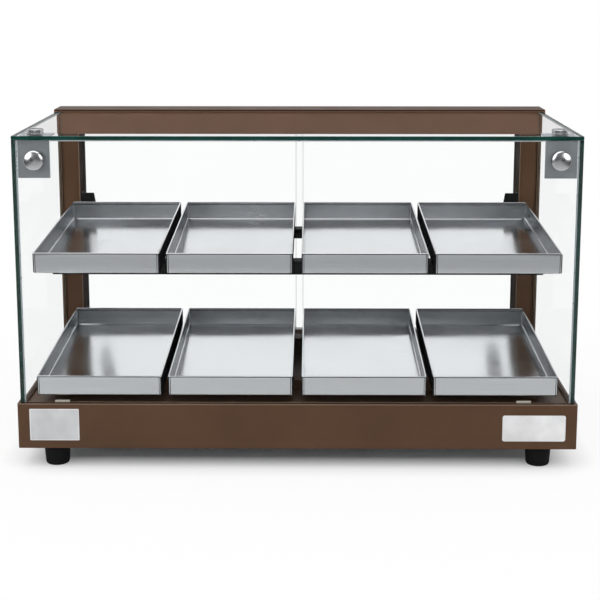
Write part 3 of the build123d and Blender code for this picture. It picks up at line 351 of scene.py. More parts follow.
def plate(bm, points, near, far, to_space):
    """A flat plate with the outline points, between the depths near and far."""
    low = [bm.verts.new(to_space(u, v, near)) for u, v in points]
    high = [bm.verts.new(to_space(u, v, far)) for u, v in points]
    faces = [bm.faces.new(low), bm.faces.new(high)] + band(bm, low, high)
    bmesh.ops.recalc_face_normals(bm, faces=faces)


def edge_bar(bm, depth, rise, radius, left, right):
    """A thin round bar along X at a depth and a rise."""
    points = arc((depth, rise), radius, 0, 360, 12)[:-1]
    plate(bm, points, left, right, lambda u, v, w: Vector((w, u, v)))


# Node helpers

def add_node(tree, kind, settings=None, **inputs):
    """Adds a node, sets it and fills its sockets from values or from other sockets."""
    made = tree.nodes.new(kind)
    for name, value in (settings or {}).items():
        setattr(made, name, value)
    for name, value in inputs.items():
        fill(tree, made, name.replace("_", " "), value)
    return made


def fill(tree, made, name, value):
    """Sets or links one input of a node, found by its name or its place."""
    socket = made.inputs[name]
    if isinstance(value, bpy.types.NodeSocket):
        tree.links.new(value, socket)
    else:
        socket.default_value = value


def new_material(name):
    """A material with a Principled shader and its tree."""
    material = bpy.data.materials.new(name)
    material.use_nodes = True
    tree = material.node_tree
    return material, tree, tree.nodes["Principled BSDF"]


def object_coordinates(tree, scale=(1.0, 1.0, 1.0), turn=(0.0, 0.0, 0.0)):
    """Coordinates on the piece in metres, stretched and turned by a Mapping node."""
    source = add_node(tree, "ShaderNodeTexCoord").outputs["Object"]
    mapping = add_node(tree, "ShaderNodeMapping", Vector=source, Scale=scale, Rotation=turn)
    return mapping.outputs["Vector"]


def noise(tree, vector, scale, detail=3.0, roughness=0.5):
    """The value of a noise texture."""
    made = add_node(tree, "ShaderNodeTexNoise", Vector=vector, Scale=scale, Detail=detail,
                    Roughness=roughness)
    return made.outputs["Fac"]


def spread(tree, value, low=0.0, high=1.0, floor=0.3, ceiling=0.7):
    """A value brought from the range floor to ceiling into the range low to high."""
    return add_node(tree, "ShaderNodeMapRange", Value=value, From_Min=floor, From_Max=ceiling,
                    To_Min=low, To_Max=high).outputs["Result"]


def math_node(tree, operation, first, second=0.0):
    """The result of a sum between two values or sockets."""
    made = add_node(tree, "ShaderNodeMath", {"operation": operation})
    fill(tree, made, 0, first)
    fill(tree, made, 1, second)
    return made.outputs[0]


def vector_math(tree, operation, first, second=(0.0, 0.0, 0.0)):
    """The outlets of a sum between two vectors or sockets."""
    made = add_node(tree, "ShaderNodeVectorMath", {"operation": operation})
    fill(tree, made, 0, first)
    fill(tree, made, 1, second)
    return made.outputs


def times(tree, first, second):
    """The product of two values or sockets."""
    return math_node(tree, "MULTIPLY", first, second)


def larger(tree, first, second):
    """The larger of two values or sockets."""
    return math_node(tree, "MAXIMUM", first, second)


def two_tone(tree, value, colour, darker, lighter):
    """A colour that varies between a darker and a lighter share of itself."""
    mix = add_node(tree, "ShaderNodeMix", {"data_type": "RGBA"}, Factor=value)
    for place, share in ((6, darker), (7, lighter)):
        mix.inputs[place].default_value = [min(1.0, part * share) for part in colour] + [1.0]
    return mix.outputs[2]


def soft_edges(tree, radius):
    """A normal that looks rounded at the edges of a folded sheet."""
    return add_node(tree, "ShaderNodeBevel", {"samples": 4}, Radius=radius).outputs["Normal"]


def bump(tree, height, strength, distance, normal=None):
    """A normal disturbed by a height."""
    made = add_node(tree, "ShaderNodeBump", Height=height, Strength=strength, Distance=distance)
    if normal is not None:
        fill(tree, made, "Normal", normal)
    return made.outputs["Normal"]


def mixed(tree, share, first, second):
    """Two shaders blended by a share."""
    mix = tree.nodes.new("ShaderNodeMixShader")
    for place, value in enumerate((share, first, second)):
        fill(tree, mix, place, value)
    return mix.outputs[0]


def end_with(tree, surface, outlet="Material Output"):
    """Makes a shader the surface of a material or a world."""
    tree.links.new(surface, tree.nodes[outlet].inputs["Surface"])


def fill_shader(tree, shader, tone, colour, shades, roughness, normal=None, **levels):
    """Fills a shader: a varied colour, its roughness, its normal and plain values."""
    fill(tree, shader, "Base Color", two_tone(tree, tone, colour, *shades))
    fill(tree, shader, "Roughness", roughness)
    if normal is not None:
        fill(tree, shader, "Normal", normal)
    for name, value in levels.items():
        fill(tree, shader, name.replace("_", " "), value)


# Finishes

def powder_coat(name, colour, peel, roughness=(0.36, 0.47), shine=0.12):
    """Satin powder coat: fine orange peel, cloudy tone and softened edges."""
    material, tree, shader = new_material(name)
    coordinates = object_coordinates(tree)
    cloud = noise(tree, coordinates, 16.0, 5.0)
    grain = noise(tree, coordinates, 900.0, 1.0)
    fill_shader(tree, shader, spread(tree, cloud), colour, (0.93, 1.08),
                spread(tree, cloud, *roughness),
                bump(tree, grain, peel, 0.00025, soft_edges(tree, 0.0009)),
                Specular_IOR_Level=shine)
    return material


def brushed_steel(name, colour, roughness, along=None, attribute=None, edges=0.0, rim=1.0):
    """Steel with fine brushing lines, along an axis or along an attribute's first axis."""
    material, tree, shader = new_material(name)
    if attribute:
        source = add_node(tree, "ShaderNodeAttribute", {"attribute_name": attribute})
        lines = add_node(tree, "ShaderNodeMapping", Vector=source.outputs["Vector"],
                         Scale=(BRUSH_ALONG, BRUSH_ACROSS, 1.0)).outputs["Vector"]
    else:
        lines = object_coordinates(tree, [BRUSH_ALONG if axis == along else BRUSH_ACROSS
                                          for axis in range(3)])
    streak = noise(tree, lines, 1.0, 4.0, 0.6)
    cloud = noise(tree, object_coordinates(tree), 7.0, 4.0)
    smear = noise(tree, object_coordinates(tree, (1.0, 1.0, 3.0)), 32.0, 3.0)
    wiped = times(tree, spread(tree, smear, 0.9, 1.12), spread(tree, cloud, *roughness))
    waves = bump(tree, cloud, 0.05, 0.0006, soft_edges(tree, edges) if edges else None)
    fill_shader(tree, shader, spread(tree, streak), colour, (0.95, 1.05), wiped,
                bump(tree, streak, 0.06, 0.00004, waves), Metallic=1.0,
                Specular_Tint=(rim, rim, rim, 1.0))
    return material


def polished_metal(name, colour, roughness):
    """Chrome or plated brass with faint turning lines and handling marks."""
    material, tree, shader = new_material(name)
    smear = noise(tree, object_coordinates(tree), 220.0, 4.0)
    fill_shader(tree, shader, spread(tree, smear), colour, (0.95, 1.03),
                spread(tree, smear, *roughness), bump(tree, smear, 0.05, 0.0001), Metallic=1.0)
    return material


def turned_metal(name, colour, roughness, metallic):
    """Metal turned on a lathe: fine rings, and a shine that fans out from the middle."""
    material, tree, shader = new_material(name)
    source = add_node(tree, "ShaderNodeAttribute", {"attribute_name": "radius"})
    ring = add_node(tree, "ShaderNodeTexNoise", {"noise_dimensions": "1D"}, Scale=5200.0,
                    Detail=3.0, W=source.outputs["Fac"]).outputs["Fac"]
    turn = add_node(tree, "ShaderNodeAttribute", {"attribute_name": "turned"})
    fill_shader(tree, shader, spread(tree, ring), colour, (0.88, 1.1),
                spread(tree, ring, *roughness), bump(tree, ring, 0.05, 0.00004),
                Metallic=metallic, Anisotropic=0.85, Specular_Tint=(0.15, 0.15, 0.15, 1.0),
                Tangent=turn.outputs["Vector"])
    return material


def zinc_plate(name, colour):
    """Matt zinc with a pale crystal pattern."""
    material, tree, shader = new_material(name)
    coordinates = object_coordinates(tree)
    crystal = add_node(tree, "ShaderNodeTexVoronoi", Vector=coordinates, Scale=260.0)
    cloud = noise(tree, coordinates, 55.0, 4.0)
    tone = math_node(tree, "ADD", spread(tree, crystal.outputs["Distance"], 0.0, 0.45, 0.0, 0.8),
                     spread(tree, cloud, 0.0, 0.55))
    fill_shader(tree, shader, tone, colour, (0.88, 1.12), spread(tree, cloud, 0.38, 0.52),
                bump(tree, cloud, 0.15, 0.0001, soft_edges(tree, 0.0005)), Metallic=0.85)
    return material


def moulded(name, colour, roughness=(0.42, 0.55), grain=700.0, depth=0.2, **levels):
    """Moulded plastic or rubber with a fine spark-eroded grain."""
    material, tree, shader = new_material(name)
    coordinates = object_coordinates(tree)
    fine = noise(tree, coordinates, grain, 3.0)
    cloud = noise(tree, coordinates, 35.0, 4.0)
    fill_shader(tree, shader, spread(tree, cloud), colour, (0.9, 1.1),
                spread(tree, cloud, *roughness),
                bump(tree, fine, depth, 0.0002, soft_edges(tree, 0.0005)), **levels)
    return material


def lit_through(tree, surface, tint):
    """Lets light pass straight through a milky piece for shadows."""
    path = add_node(tree, "ShaderNodeLightPath")
    clear = add_node(tree, "ShaderNodeBsdfTransparent", Color=tint + (1.0,))
    either = larger(tree, path.outputs["Is Shadow Ray"], path.outputs["Is Diffuse Ray"])
    end_with(tree, mixed(tree, either, surface, clear.outputs[0]))


def clear_glass(name, tint, mirror):
    """Float glass that bends what is behind it, with a weak mirror and traces of wiping."""
    material, tree, shader = new_material(name)
    smear = noise(tree, object_coordinates(tree, (1.0, 1.0, 0.6)), 9.0, 6.0, 0.6)
    fill_shader(tree, shader, spread(tree, smear), (0.97, 0.99, 0.985), (0.97, 1.0),
                spread(tree, smear, 0.0, 0.02, 0.45, 0.75), Metallic=1.0)
    clear = add_node(tree, "ShaderNodeBsdfRefraction", Roughness=0.0, IOR=1.5,
                     Color=two_tone(tree, spread(tree, smear), tint, 0.998, 1.0))
    facing_share = add_node(tree, "ShaderNodeFresnel", IOR=1.5).outputs["Fac"]
    pane = mixed(tree, times(tree, facing_share, mirror), clear.outputs[0], shader.outputs[0])
    lit_through(tree, pane, tint)
    return material


def glass_edge(name, colour):
    """The ground edge of a pane, where the green of the glass gathers."""
    material, tree, shader = new_material(name)
    coordinates = object_coordinates(tree)
    grind = noise(tree, coordinates, 1600.0, 2.0)
    cloud = noise(tree, coordinates, 30.0, 4.0)
    fill_shader(tree, shader, spread(tree, cloud), colour, (0.7, 1.45),
                spread(tree, grind, 0.24, 0.34), bump(tree, grind, 0.04, 0.00005),
                Specular_IOR_Level=0.2)
    return material


def clear_seal(name, colour, roughness):
    """Clear silicone or soft washer, milky with small ripples."""
    material, tree, shader = new_material(name)
    ripple = noise(tree, object_coordinates(tree), 240.0, 3.0)
    fill_shader(tree, shader, spread(tree, ripple), colour, (0.96, 1.03),
                spread(tree, ripple, *roughness), bump(tree, ripple, 0.06, 0.0002),
                Transmission_Weight=0.7, IOR=1.41)
    lit_through(tree, shader.outputs[0], colour)
    return material


def bonded_joint(name, tint):
    """The hair-thin layer between two panes, clear apart from its small bubbles."""
    material, tree, shader = new_material(name)
    bubbles = noise(tree, object_coordinates(tree), 700.0, 2.0)
    fill_shader(tree, shader, spread(tree, bubbles), tint, (0.9, 1.0),
                spread(tree, bubbles, 0.05, 0.2))
    clear = add_node(tree, "ShaderNodeBsdfTransparent",
                     Color=two_tone(tree, spread(tree, bubbles), tint, 0.97, 1.0))
    end_with(tree, mixed(tree, 0.03, clear.outputs[0], shader.outputs[0]))
    return material


def red_lens(name, colour):
    """Clear red plastic with faint ribs inside."""
    material, tree, shader = new_material(name)
    ribs = add_node(tree, "ShaderNodeTexWave", {"wave_type": "RINGS", "rings_direction": "Y"},
                    Vector=object_coordinates(tree), Scale=700.0, Distortion=0.4).outputs["Fac"]
    fill_shader(tree, shader, ribs, colour, (0.8, 1.15), spread(tree, ribs, 0.08, 0.16, 0.0, 1.0),
                bump(tree, ribs, 0.2, 0.0002), Transmission_Weight=0.35)
    return material


# Geometry Nodes helpers

def new_tree(name, numbers, counts=()):
    """A Geometry Nodes tree with named inputs; gives the tree, its inputs and its outlet."""
    tree = bpy.data.node_groups.new(name, "GeometryNodeTree")
    tree.interface.new_socket(name="Geometry", in_out="OUTPUT",
                              socket_type="NodeSocketGeometry")
    kinds = [("Geometry", "Geometry")] + [(label, "Float") for label in numbers]
    kinds += [(label, "Int") for label in counts] + [("Material", "Material")]
    for label, kind in kinds:
        tree.interface.new_socket(name=label, in_out="INPUT", socket_type="NodeSocket" + kind)
    return tree, tree.nodes.new("NodeGroupInput").outputs, tree.nodes.new("NodeGroupOutput")


def close_tree(tree, given, outlet, solid, turn):
    """Ends a tree: a solid on every point, Realize Instances and Set Material."""
    placed = add_node(tree, "GeometryNodeInstanceOnPoints", Points=given["Geometry"],
                      Instance=solid, Rotation=turn)
    real = add_node(tree, "GeometryNodeRealizeInstances", Geometry=placed.outputs[0])
    painted = add_node(tree, "GeometryNodeSetMaterial", Geometry=real.outputs[0],
                       Material=given["Material"])
    tree.links.new(painted.outputs[0], outlet.inputs[0])
    return tree


def final_mesh(holder):
    """The mesh that an object ends up with; the object itself is removed."""
    bpy.context.scene.collection.objects.link(holder)
    bpy.context.view_layer.update()
    view = bpy.context.evaluated_depsgraph_get()
    mesh = bpy.data.meshes.new_from_object(holder.evaluated_get(view))
    bpy.data.objects.remove(holder)
    return mesh


def baked(points, tree, values, name):
    """Runs a tree on a mesh of points and gives the result as a plain mesh."""
    holder = bpy.data.objects.new(name, points)
    modifier = holder.modifiers.new(name, "NODES")
    modifier.node_group = tree
    for item in tree.interface.items_tree:
        if item.in_out == "INPUT" and item.name in values:
            modifier[item.identifier] = values[item.name]
    mesh = final_mesh(holder)
    smooth(mesh, 30.0)
    mesh.name = name
    return mesh


def point_mesh(name, places, aims):
    """A mesh of points, each with the direction that what stands on it faces."""
    mesh = bpy.data.meshes.new(name)
    mesh.from_pydata([tuple(place) for place in places], [], [])
    aim = mesh.attributes.new("aim", "FLOAT_VECTOR", "POINT")
    aim.data.foreach_set("vector", [part for direction in aims for part in direction])
    return mesh


def vector_node(tree, x=0.0, y=0.0, z=0.0):
    """A vector from three values or sockets."""
    return add_node(tree, "ShaderNodeCombineXYZ", X=x, Y=y, Z=z).outputs[0]


def facing(tree):
    """The rotation that turns Z to the direction stored on a point."""
    aim = add_node(tree, "GeometryNodeInputNamedAttribute", {"data_type": "FLOAT_VECTOR"},
                   Name="aim")
    return add_node(tree, "FunctionNodeAlignRotationToVector", {"axis": "Z"},
                    Vector=aim.outputs["Attribute"]).outputs["Rotation"]


def raised(tree, geometry, height):
    """Geometry moved up by a value or socket."""
    return add_node(tree, "GeometryNodeTransform", Geometry=geometry,
                    Translation=vector_node(tree, z=height)).outputs[0]


def boolean(tree, operation, solids, first=None):
    """Solids joined together, or cut from a first one."""
    made = add_node(tree, "GeometryNodeMeshBoolean", {"operation": operation, "solver": "EXACT"})
    if first is not None:
        tree.links.new(first, made.inputs["Mesh 1"])
    for solid in solids:
        tree.links.new(solid, made.inputs["Mesh 2"])
    return made.outputs["Mesh"]


def screw_tree():
    """A cross-recessed screw on every point, each turned a little differently."""
    tree, given, outlet = new_tree("Screws", (
        "Head Radius", "Head Height", "Head Taper", "Shank Radius", "Shank Length",
        "Recess Width"), ("Sides", "Seed"))
    radius = given["Head Radius"]
    height = given["Head Height"]
    rim = times(tree, height, 0.5)
    base = add_node(tree, "GeometryNodeMeshCylinder", Vertices=given["Sides"], Radius=radius,
                    Depth=rim).outputs["Mesh"]
    base = raised(tree, base, times(tree, rim, 0.5))
    crown = add_node(tree, "GeometryNodeMeshCone", Vertices=given["Sides"],
                     Radius_Top=times(tree, radius, given["Head Taper"]),
                     Radius_Bottom=radius, Depth=rim).outputs["Mesh"]
    crown = raised(tree, crown, times(tree, rim, 0.999))
    shank = add_node(tree, "GeometryNodeMeshCylinder", Vertices=20,
                     Radius=given["Shank Radius"], Depth=given["Shank Length"]).outputs["Mesh"]
    shank = raised(tree, shank, times(tree, given["Shank Length"], -0.495))
    whole = boolean(tree, "UNION", (base, crown, shank))
    reach = times(tree, radius, 1.15)
    deep = times(tree, height, 1.1)
    slot = given["Recess Width"]
    bars = [raised(tree, add_node(tree, "GeometryNodeMeshCube",
                                  Size=vector_node(tree, *sides, deep)).outputs["Mesh"], height)
            for sides in ((reach, slot), (slot, reach))]
    cut = boolean(tree, "DIFFERENCE", bars, whole)
    spin = add_node(tree, "FunctionNodeRandomValue", {"data_type": "FLOAT"}, Seed=given["Seed"])
    spin.inputs[2].default_value = 0.0
    spin.inputs[3].default_value = math.pi / 2
    twist = add_node(tree, "FunctionNodeAxisAngleToRotation", Axis=(0.0, 0.0, 1.0),
                     Angle=spin.outputs[1])
    turned = add_node(tree, "FunctionNodeRotateRotation", {"rotation_space": "LOCAL"},
                      Rotation=facing(tree), Rotate_By=twist.outputs[0])
    return close_tree(tree, given, outlet, cut, turned.outputs[0])


def bar_tree():
    """A bar on every point, long across the stored direction."""
    tree, given, outlet = new_tree("Bars", ("Length", "Width", "Depth"))
    bar = add_node(tree, "GeometryNodeMeshCube",
                   Size=vector_node(tree, given["Width"], given["Depth"], given["Length"]))
    return close_tree(tree, given, outlet, bar.outputs["Mesh"], facing(tree))


def flute_tree():
    """A thin upright rib, half sunk in the grip, on every point round the knob."""
    tree, given, outlet = new_tree("Flutes", ("Radius", "Length"))
    rib = add_node(tree, "GeometryNodeMeshCylinder", Vertices=8, Radius=given["Radius"],
                   Depth=given["Length"])
    return close_tree(tree, given, outlet, rib.outputs["Mesh"], facing(tree))


# Operators, one for each piece or group of like pieces

class CASE_OT_glass(bpy.types.Operator):
    """Front, side, top and door panes, with the green of the glass in their edges"""
    bl_idname = "case.glass"
    bl_label = "Glass panes"

    def execute(self, context):
        settings = context.scene.case_glass
        face = clear_glass("float_glass", tuple(settings.tint), settings.mirror)
        # Side and top panes take darker tints, painted shade for the light they reflect away at a
        # low angle.
        side_face = clear_glass("side_shaded_float_glass", tuple(settings.side_tint), settings.mirror)
        top_face = clear_glass("top_shaded_float_glass", tuple(settings.top_tint),
                               settings.mirror / 3)
        edge = glass_edge("glass_edge_green", tuple(settings.edge))
        door_edge = glass_edge("door_edge_green", tuple(settings.door_edge))
        panes = (("front_glass", "front_pane", "case", face, edge),
                 ("side_glass_left", "side_pane_left", "case", side_face, edge),
                 ("side_glass_right", "side_pane_right", "case", side_face, edge),
                 ("top_glass", "top_pane", "case", top_face, edge),
                 ("door_left", "door_pane_left", "door_left", face, door_edge),
                 ("door_right", "door_pane_right", "door_right", face, door_edge))
        for node, name, body, pane, rim in panes:
            bm = merged_copy(node)
            low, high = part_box(node)
            size = high - low
            thin = min(range(3), key=lambda axis: size[axis])
            shrink = Matrix.Diagonal([1 - 2 * settings.skin / side for side in size] + [1.0])
            middle = Matrix.Translation((low + high) / 2)
            bm.transform(middle @ shrink @ middle.inverted())
            for each in bm.faces:
                each.material_index = 0 if abs(each.normal[thin]) > 0.9 else 1
            add_piece(name, bm, (pane, rim), body, (node,), 20.0)
        return {"FINISHED"}


class CASE_OT_brown_metal(bpy.types.Operator):
    """The base, deck, posts, header and runners in brown powder coat"""
    bl_idname = "case.brown_metal"
    bl_label = "Brown sheet metal"

    def execute(self, context):
        settings = context.scene.case_paint
        coat = powder_coat("brown_powder_coat", tuple(settings.brown), settings.peel)
        dress(BROWN_NODES, coat)
        lip = powder_coat("lip_highlight_coat", tuple(settings.lip), 0.05)
        self.add_header(settings)
        self.add_posts(settings, coat, lip)
        low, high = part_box("base_housing")
        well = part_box("glazing_clips")[1].y - MM
        # Two thin bars of painted highlight: along the base's front top edge and along the inner
        # lip of the glass slot.
        bm = bmesh.new()
        edge_bar(bm, low.y + 0.0002, high.z - 0.0002, 0.0006, MM - high.x, high.x - MM)
        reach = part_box("deck_plate")[1].x
        edge_bar(bm, well, high.z - 0.0002, 0.0006, -reach, reach)
        add_piece("base_lip_highlights", bm, (lip,), "case", smooth_angle=40.0)
        return {"FINISHED"}

    def add_header(self, settings):
        """The header beam and its caps: a brown painted lighter for the light it catches, painted
        shade on top, and a painted dark reflection along the front fold.
        """
        # The header's front takes a brown painted lighter for the light it catches.
        front, top, fold = [powder_coat(name, tuple(colour), settings.peel, shine=shine)
                            for name, colour, shine in (
                                ("header_lit_coat", settings.header, 0.12),
                                ("header_top_shade_coat", settings.header_top, 0.02),
                                ("header_fold_reflection_coat", settings.header_fold, 0.0))]
        for name in ("header_beam", "header_cap_left", "header_cap_right"):
            bm = merged_copy(name)
            # Upward faces take the darker coat of painted shade.
            for each in bm.faces:
                each.material_index = 1 if each.normal.z > 0.9 else 0
            add_piece(name + "_coated", bm, (front, top), "case", (name,))
        low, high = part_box("header_beam")
        # A thin bar in the near black of a painted dark reflection along the front fold.
        bm = bmesh.new()
        edge_bar(bm, low.y + 0.0005, high.z - 0.0011, 0.0009, low.x, high.x)
        add_piece("header_fold", bm, (fold,), "case", smooth_angle=40.0)

    def add_posts(self, settings, coat, lip):
        """The posts, with painted shade on their inner sides, and bars of painted highlight along
        their grooves.
        """
        post_side_shade = powder_coat("post_side_shade_coat", tuple(settings.channel), settings.peel,
                             (0.6, 0.75), 0.03)
        for side, name in ((-1.0, "post_left"), (1.0, "post_right")):
            low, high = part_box(name)
            inner = min(abs(low.x), abs(high.x))
            bm = merged_copy(name)
            # Faces on a post's inner side take the painted shade.
            for each in bm.faces:
                middle = each.calc_center_median()
                inside = abs(abs(middle.x) - inner) < 0.0005 and abs(each.normal.x) > 0.9
                each.material_index = 1 if inside else 0
            add_piece(name + "_coated", bm, (coat, post_side_shade), "case", (name,))
            # Thin bars of painted highlight along each post's inner front edge and both sides of
            # its groove.
            bm = bmesh.new()
            for place in (inner + 0.0006,) + GROOVE:
                points = arc((side * place, low.y), 0.00055, 180, 360, 8)
                plate(bm, points, low.z + MM, high.z - MM, lambda u, v, w: Vector((u, v, w)))
            add_piece(name + "_lip_highlights", bm, (lip,), "case", smooth_angle=40.0)


class CASE_OT_trays(bpy.types.Operator):
    """The eight folded trays, each with a rolled rim, welded corner seams and bent floor"""
    bl_idname = "case.trays"
    bl_label = "Stainless trays"

    def execute(self, context):
        settings = context.scene.case_trays
        colour = tuple(settings.colour)
        steel = brushed_steel("brushed_stainless", colour, (0.14, 0.21), attribute="sheet")
        # Painted shade: the inner walls take a darker copy of the steel, with a darker tint when
        # seen at a low angle.
        walls = brushed_steel("shaded_wall_stainless", tuple(0.86 * part for part in colour),
                              (0.18, 0.26), attribute="sheet", rim=settings.side_shade)
        # Dark seams, and the painted shade and painted dark reflections of the rims' lines and of
        # walls beside another tray.
        shadow = moulded("seam_shadow", tuple(settings.seam_colour), (0.6, 0.8), 500.0, 0.05,
                         Specular_IOR_Level=0.0)
        for node in TRAY_NODES:
            mesh = tray_mesh(node, settings)
            add_piece(node + "_sheet", mesh, (steel, walls, shadow), node, (node,))
        return {"FINISHED"}


def tray_profile(settings):
    """Section of a tray's wall, from under its floor, over the rim and back to the floor.

    Each point has its inset, its rise, the zone of the strip that starts there, and whether
    that strip is a dark line: painted shade under the hem, painted dark reflection under the roll.
    """
    wall = settings.wall
    bend = settings.bend
    height = settings.height
    hem = settings.hem_width
    under = height - settings.hem_height
    roll = hem / 2
    top = height - roll - settings.line
    points = [(x, y, OUTSIDE, False) for x, y in arc((bend, bend), bend, 270, 180, 4)]
    # The strip just under the roll on the outside is a painted dark reflection.
    points += [(0.0, height * 0.35, OUTSIDE, False), (0.0, height * 0.7, OUTSIDE, False),
               (0.0, top, OUTSIDE, True)]
    points += [(x, y, RIM, False) for x, y in arc((roll, height - roll), roll, 180, 0, 8)]
    # The dark lines at the inner end of the roll and under the hem are painted shade.
    points[-1] = points[-1][:2] + (INSIDE, True)
    points += [(hem, top, INSIDE, False), (hem, under + 0.0003, INSIDE, True),
               (hem - 0.0003, under, INSIDE, True), (wall, under, INSIDE, True),
               (wall, under - settings.line, INSIDE, False), (wall, height * 0.5, INSIDE, False)]
    points += [(x, y, FLOOR, False) for x, y in arc((bend, bend), bend - wall, 180, 270, 4)]
    return points


def tray_mesh(node, settings):
    """The tray that stands where the node does, with its sheet coordinates."""
    low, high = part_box(node)
    slope = settings.slope
    front = low.y + settings.height * math.sin(slope)
    long_side = (high.y - front) / math.cos(slope)
    hinge = Vector((0.0, front, low.z))
    tip = Matrix.Rotation(slope, 3, "X")
    centre = (low.x + high.x) / 2
    place = int(node[-1])
    bm = bmesh.new()
    sheet = bm.verts.layers.float_vector.new("sheet")
    rings = []
    run = 0.0
    last = None
    profile = tray_profile(settings)
    for inset, rise, zone, _ in profile:
        if last is not None:
            run += math.dist(last, (inset, rise))
        last = (inset, rise)
        outer = zone == OUTSIDE and settings.bend < rise
        ring = []
        for x, y, seam, _ in tray_outline(low.x, high.x, long_side, inset, settings):
            if seam and outer:
                y += SEAM_DEPTH if y < long_side / 2 else -SEAM_DEPTH
            vert = bm.verts.new(tip @ Vector((x, y, rise)) + hinge)
            if min(x - low.x, high.x - x) < min(y, long_side - y):
                vert[sheet] = (x + math.copysign(run, x - centre), y, 0.0)
            else:
                vert[sheet] = (x, y + math.copysign(run, y - long_side / 2), 0.0)
            ring.append(vert)
        rings.append(ring)
    faces = [bm.faces.new(rings[0]), bm.faces.new(rings[-1])]
    columns = tray_outline(low.x, high.x, long_side, 0.0, settings)
    for (_, _, zone, line), lower, upper in zip(profile, rings, rings[1:]):
        strip = band(bm, lower, upper)
        faces += strip
        for index, face in enumerate(strip):
            here, after = columns[index], columns[(index + 1) % len(columns)]
            beside = abs(here[1] - after[1]) > 0.01
            shaded_by_neighbour = place > 1 if (here[0] + after[0]) / 2 < centre else place < 4
            fold = zone == INSIDE and index % 2 == 1
            # Dark strips: the seams and corner lines, the rims' lines of painted shade and painted
            # dark reflection, and painted shade on outer walls facing another tray; inner walls
            # take the shaded steel.
            if (line or here[3] and (zone == OUTSIDE or fold)
                    or zone == OUTSIDE and beside and shaded_by_neighbour):
                face.material_index = 2
            elif zone == INSIDE:
                face.material_index = 1
    bmesh.ops.recalc_face_normals(bm, faces=faces)
    return mesh_from(bm, node + "_sheet", 35.0)


def tray_outline(x0, x1, long_side, inset, settings):
    """Points round a tray at a distance inside its wall.

    The third value marks the bottom of a seam and the fourth tells whether the strip that
    starts there is dark; the seams are dark, and the upright corners carry a painted dark
    reflection.
    """
    radius = max(settings.corner - inset, 0.00025)
    left, right = x0 + inset, x1 - inset
    front, back = inset, long_side - inset
    seam = settings.seam
    gaps = ((0.0, False, True), (0.0004, True, True), (0.0008, False, False))
    back_gaps = tuple((gap, deep, gap > 0.0) for gap, deep, _ in reversed(gaps))
    rows = []
    for x, y, start in ((right - radius, front + radius, -90), (right - radius, back - radius, 0),
                        (left + radius, back - radius, 90), (left + radius, front + radius, 180)):
        rows += [(px, py, False, True) for px, py in arc((x, y), radius, start, start + 90, 4)]
        rows[-1] = rows[-1][:3] + (False,)
        if start == 0:
            rows += [(x1 - seam - gap, back, deep, dark) for gap, deep, dark in gaps]
            rows += [(x0 + seam + gap, back, deep, dark) for gap, deep, dark in back_gaps]
        if start == 180:
            rows += [(x0 + seam + gap, front, deep, dark) for gap, deep, dark in gaps]
            rows += [(x1 - seam - gap, front, deep, dark) for gap, deep, dark in back_gaps]
    return rows


class CASE_OT_shelf(bpy.types.Operator):
    """The shelf's rails, arms and gussets in black"""
    bl_idname = "case.shelf"
    bl_label = "Shelf frame"

    def execute(self, context):
        settings = context.scene.case_paint
        dress(("shelf_front_rail", "shelf_rear_rail", "shelf_arms", "shelf_gussets"),
              powder_coat("black_powder_coat", tuple(settings.black), settings.peel,
                          (0.4, 0.5)))
        return {"FINISHED"}


class CASE_OT_feet(bpy.types.Operator):
    """Four moulded rubber feet, bored for their bolts"""
    bl_idname = "case.feet"
    bl_label = "Rubber feet"

    def execute(self, context):
        rubber = moulded("foot_rubber", (0.008, 0.008, 0.008), (0.55, 0.72), 420.0, 0.3,
                         Specular_IOR_Level=0.1)
        bm = bmesh.new()
        for low, high, middle in node_islands("feet"):
            top = (high.x - low.x) / 2
            height = high.z - low.z
            bottom = top - 0.002
            profile = [(0.00265, height), (top - 0.0004, height), (top, height - 0.0005),
                       (top - 0.00022, height - 0.0035), (top - 0.0008, height - 0.0038),
                       (top - 0.0008, height - 0.0044), (top - 0.0003, height - 0.0047),
                       (bottom + 0.0002, 0.0035)]
            profile += arc((bottom - 0.003, 0.003), 0.003, 0, -90, 6)
            profile += [(0.0066, 0.0), (0.006, 0.0006), (0.006, 0.013), (0.00265, 0.013)]
            lathe(bm, profile, 56, Matrix.Translation((middle.x, middle.y, low.z)), closed=True)
        add_piece("rubber_feet", bm, (rubber,), "case", ("feet",))
        return {"FINISHED"}


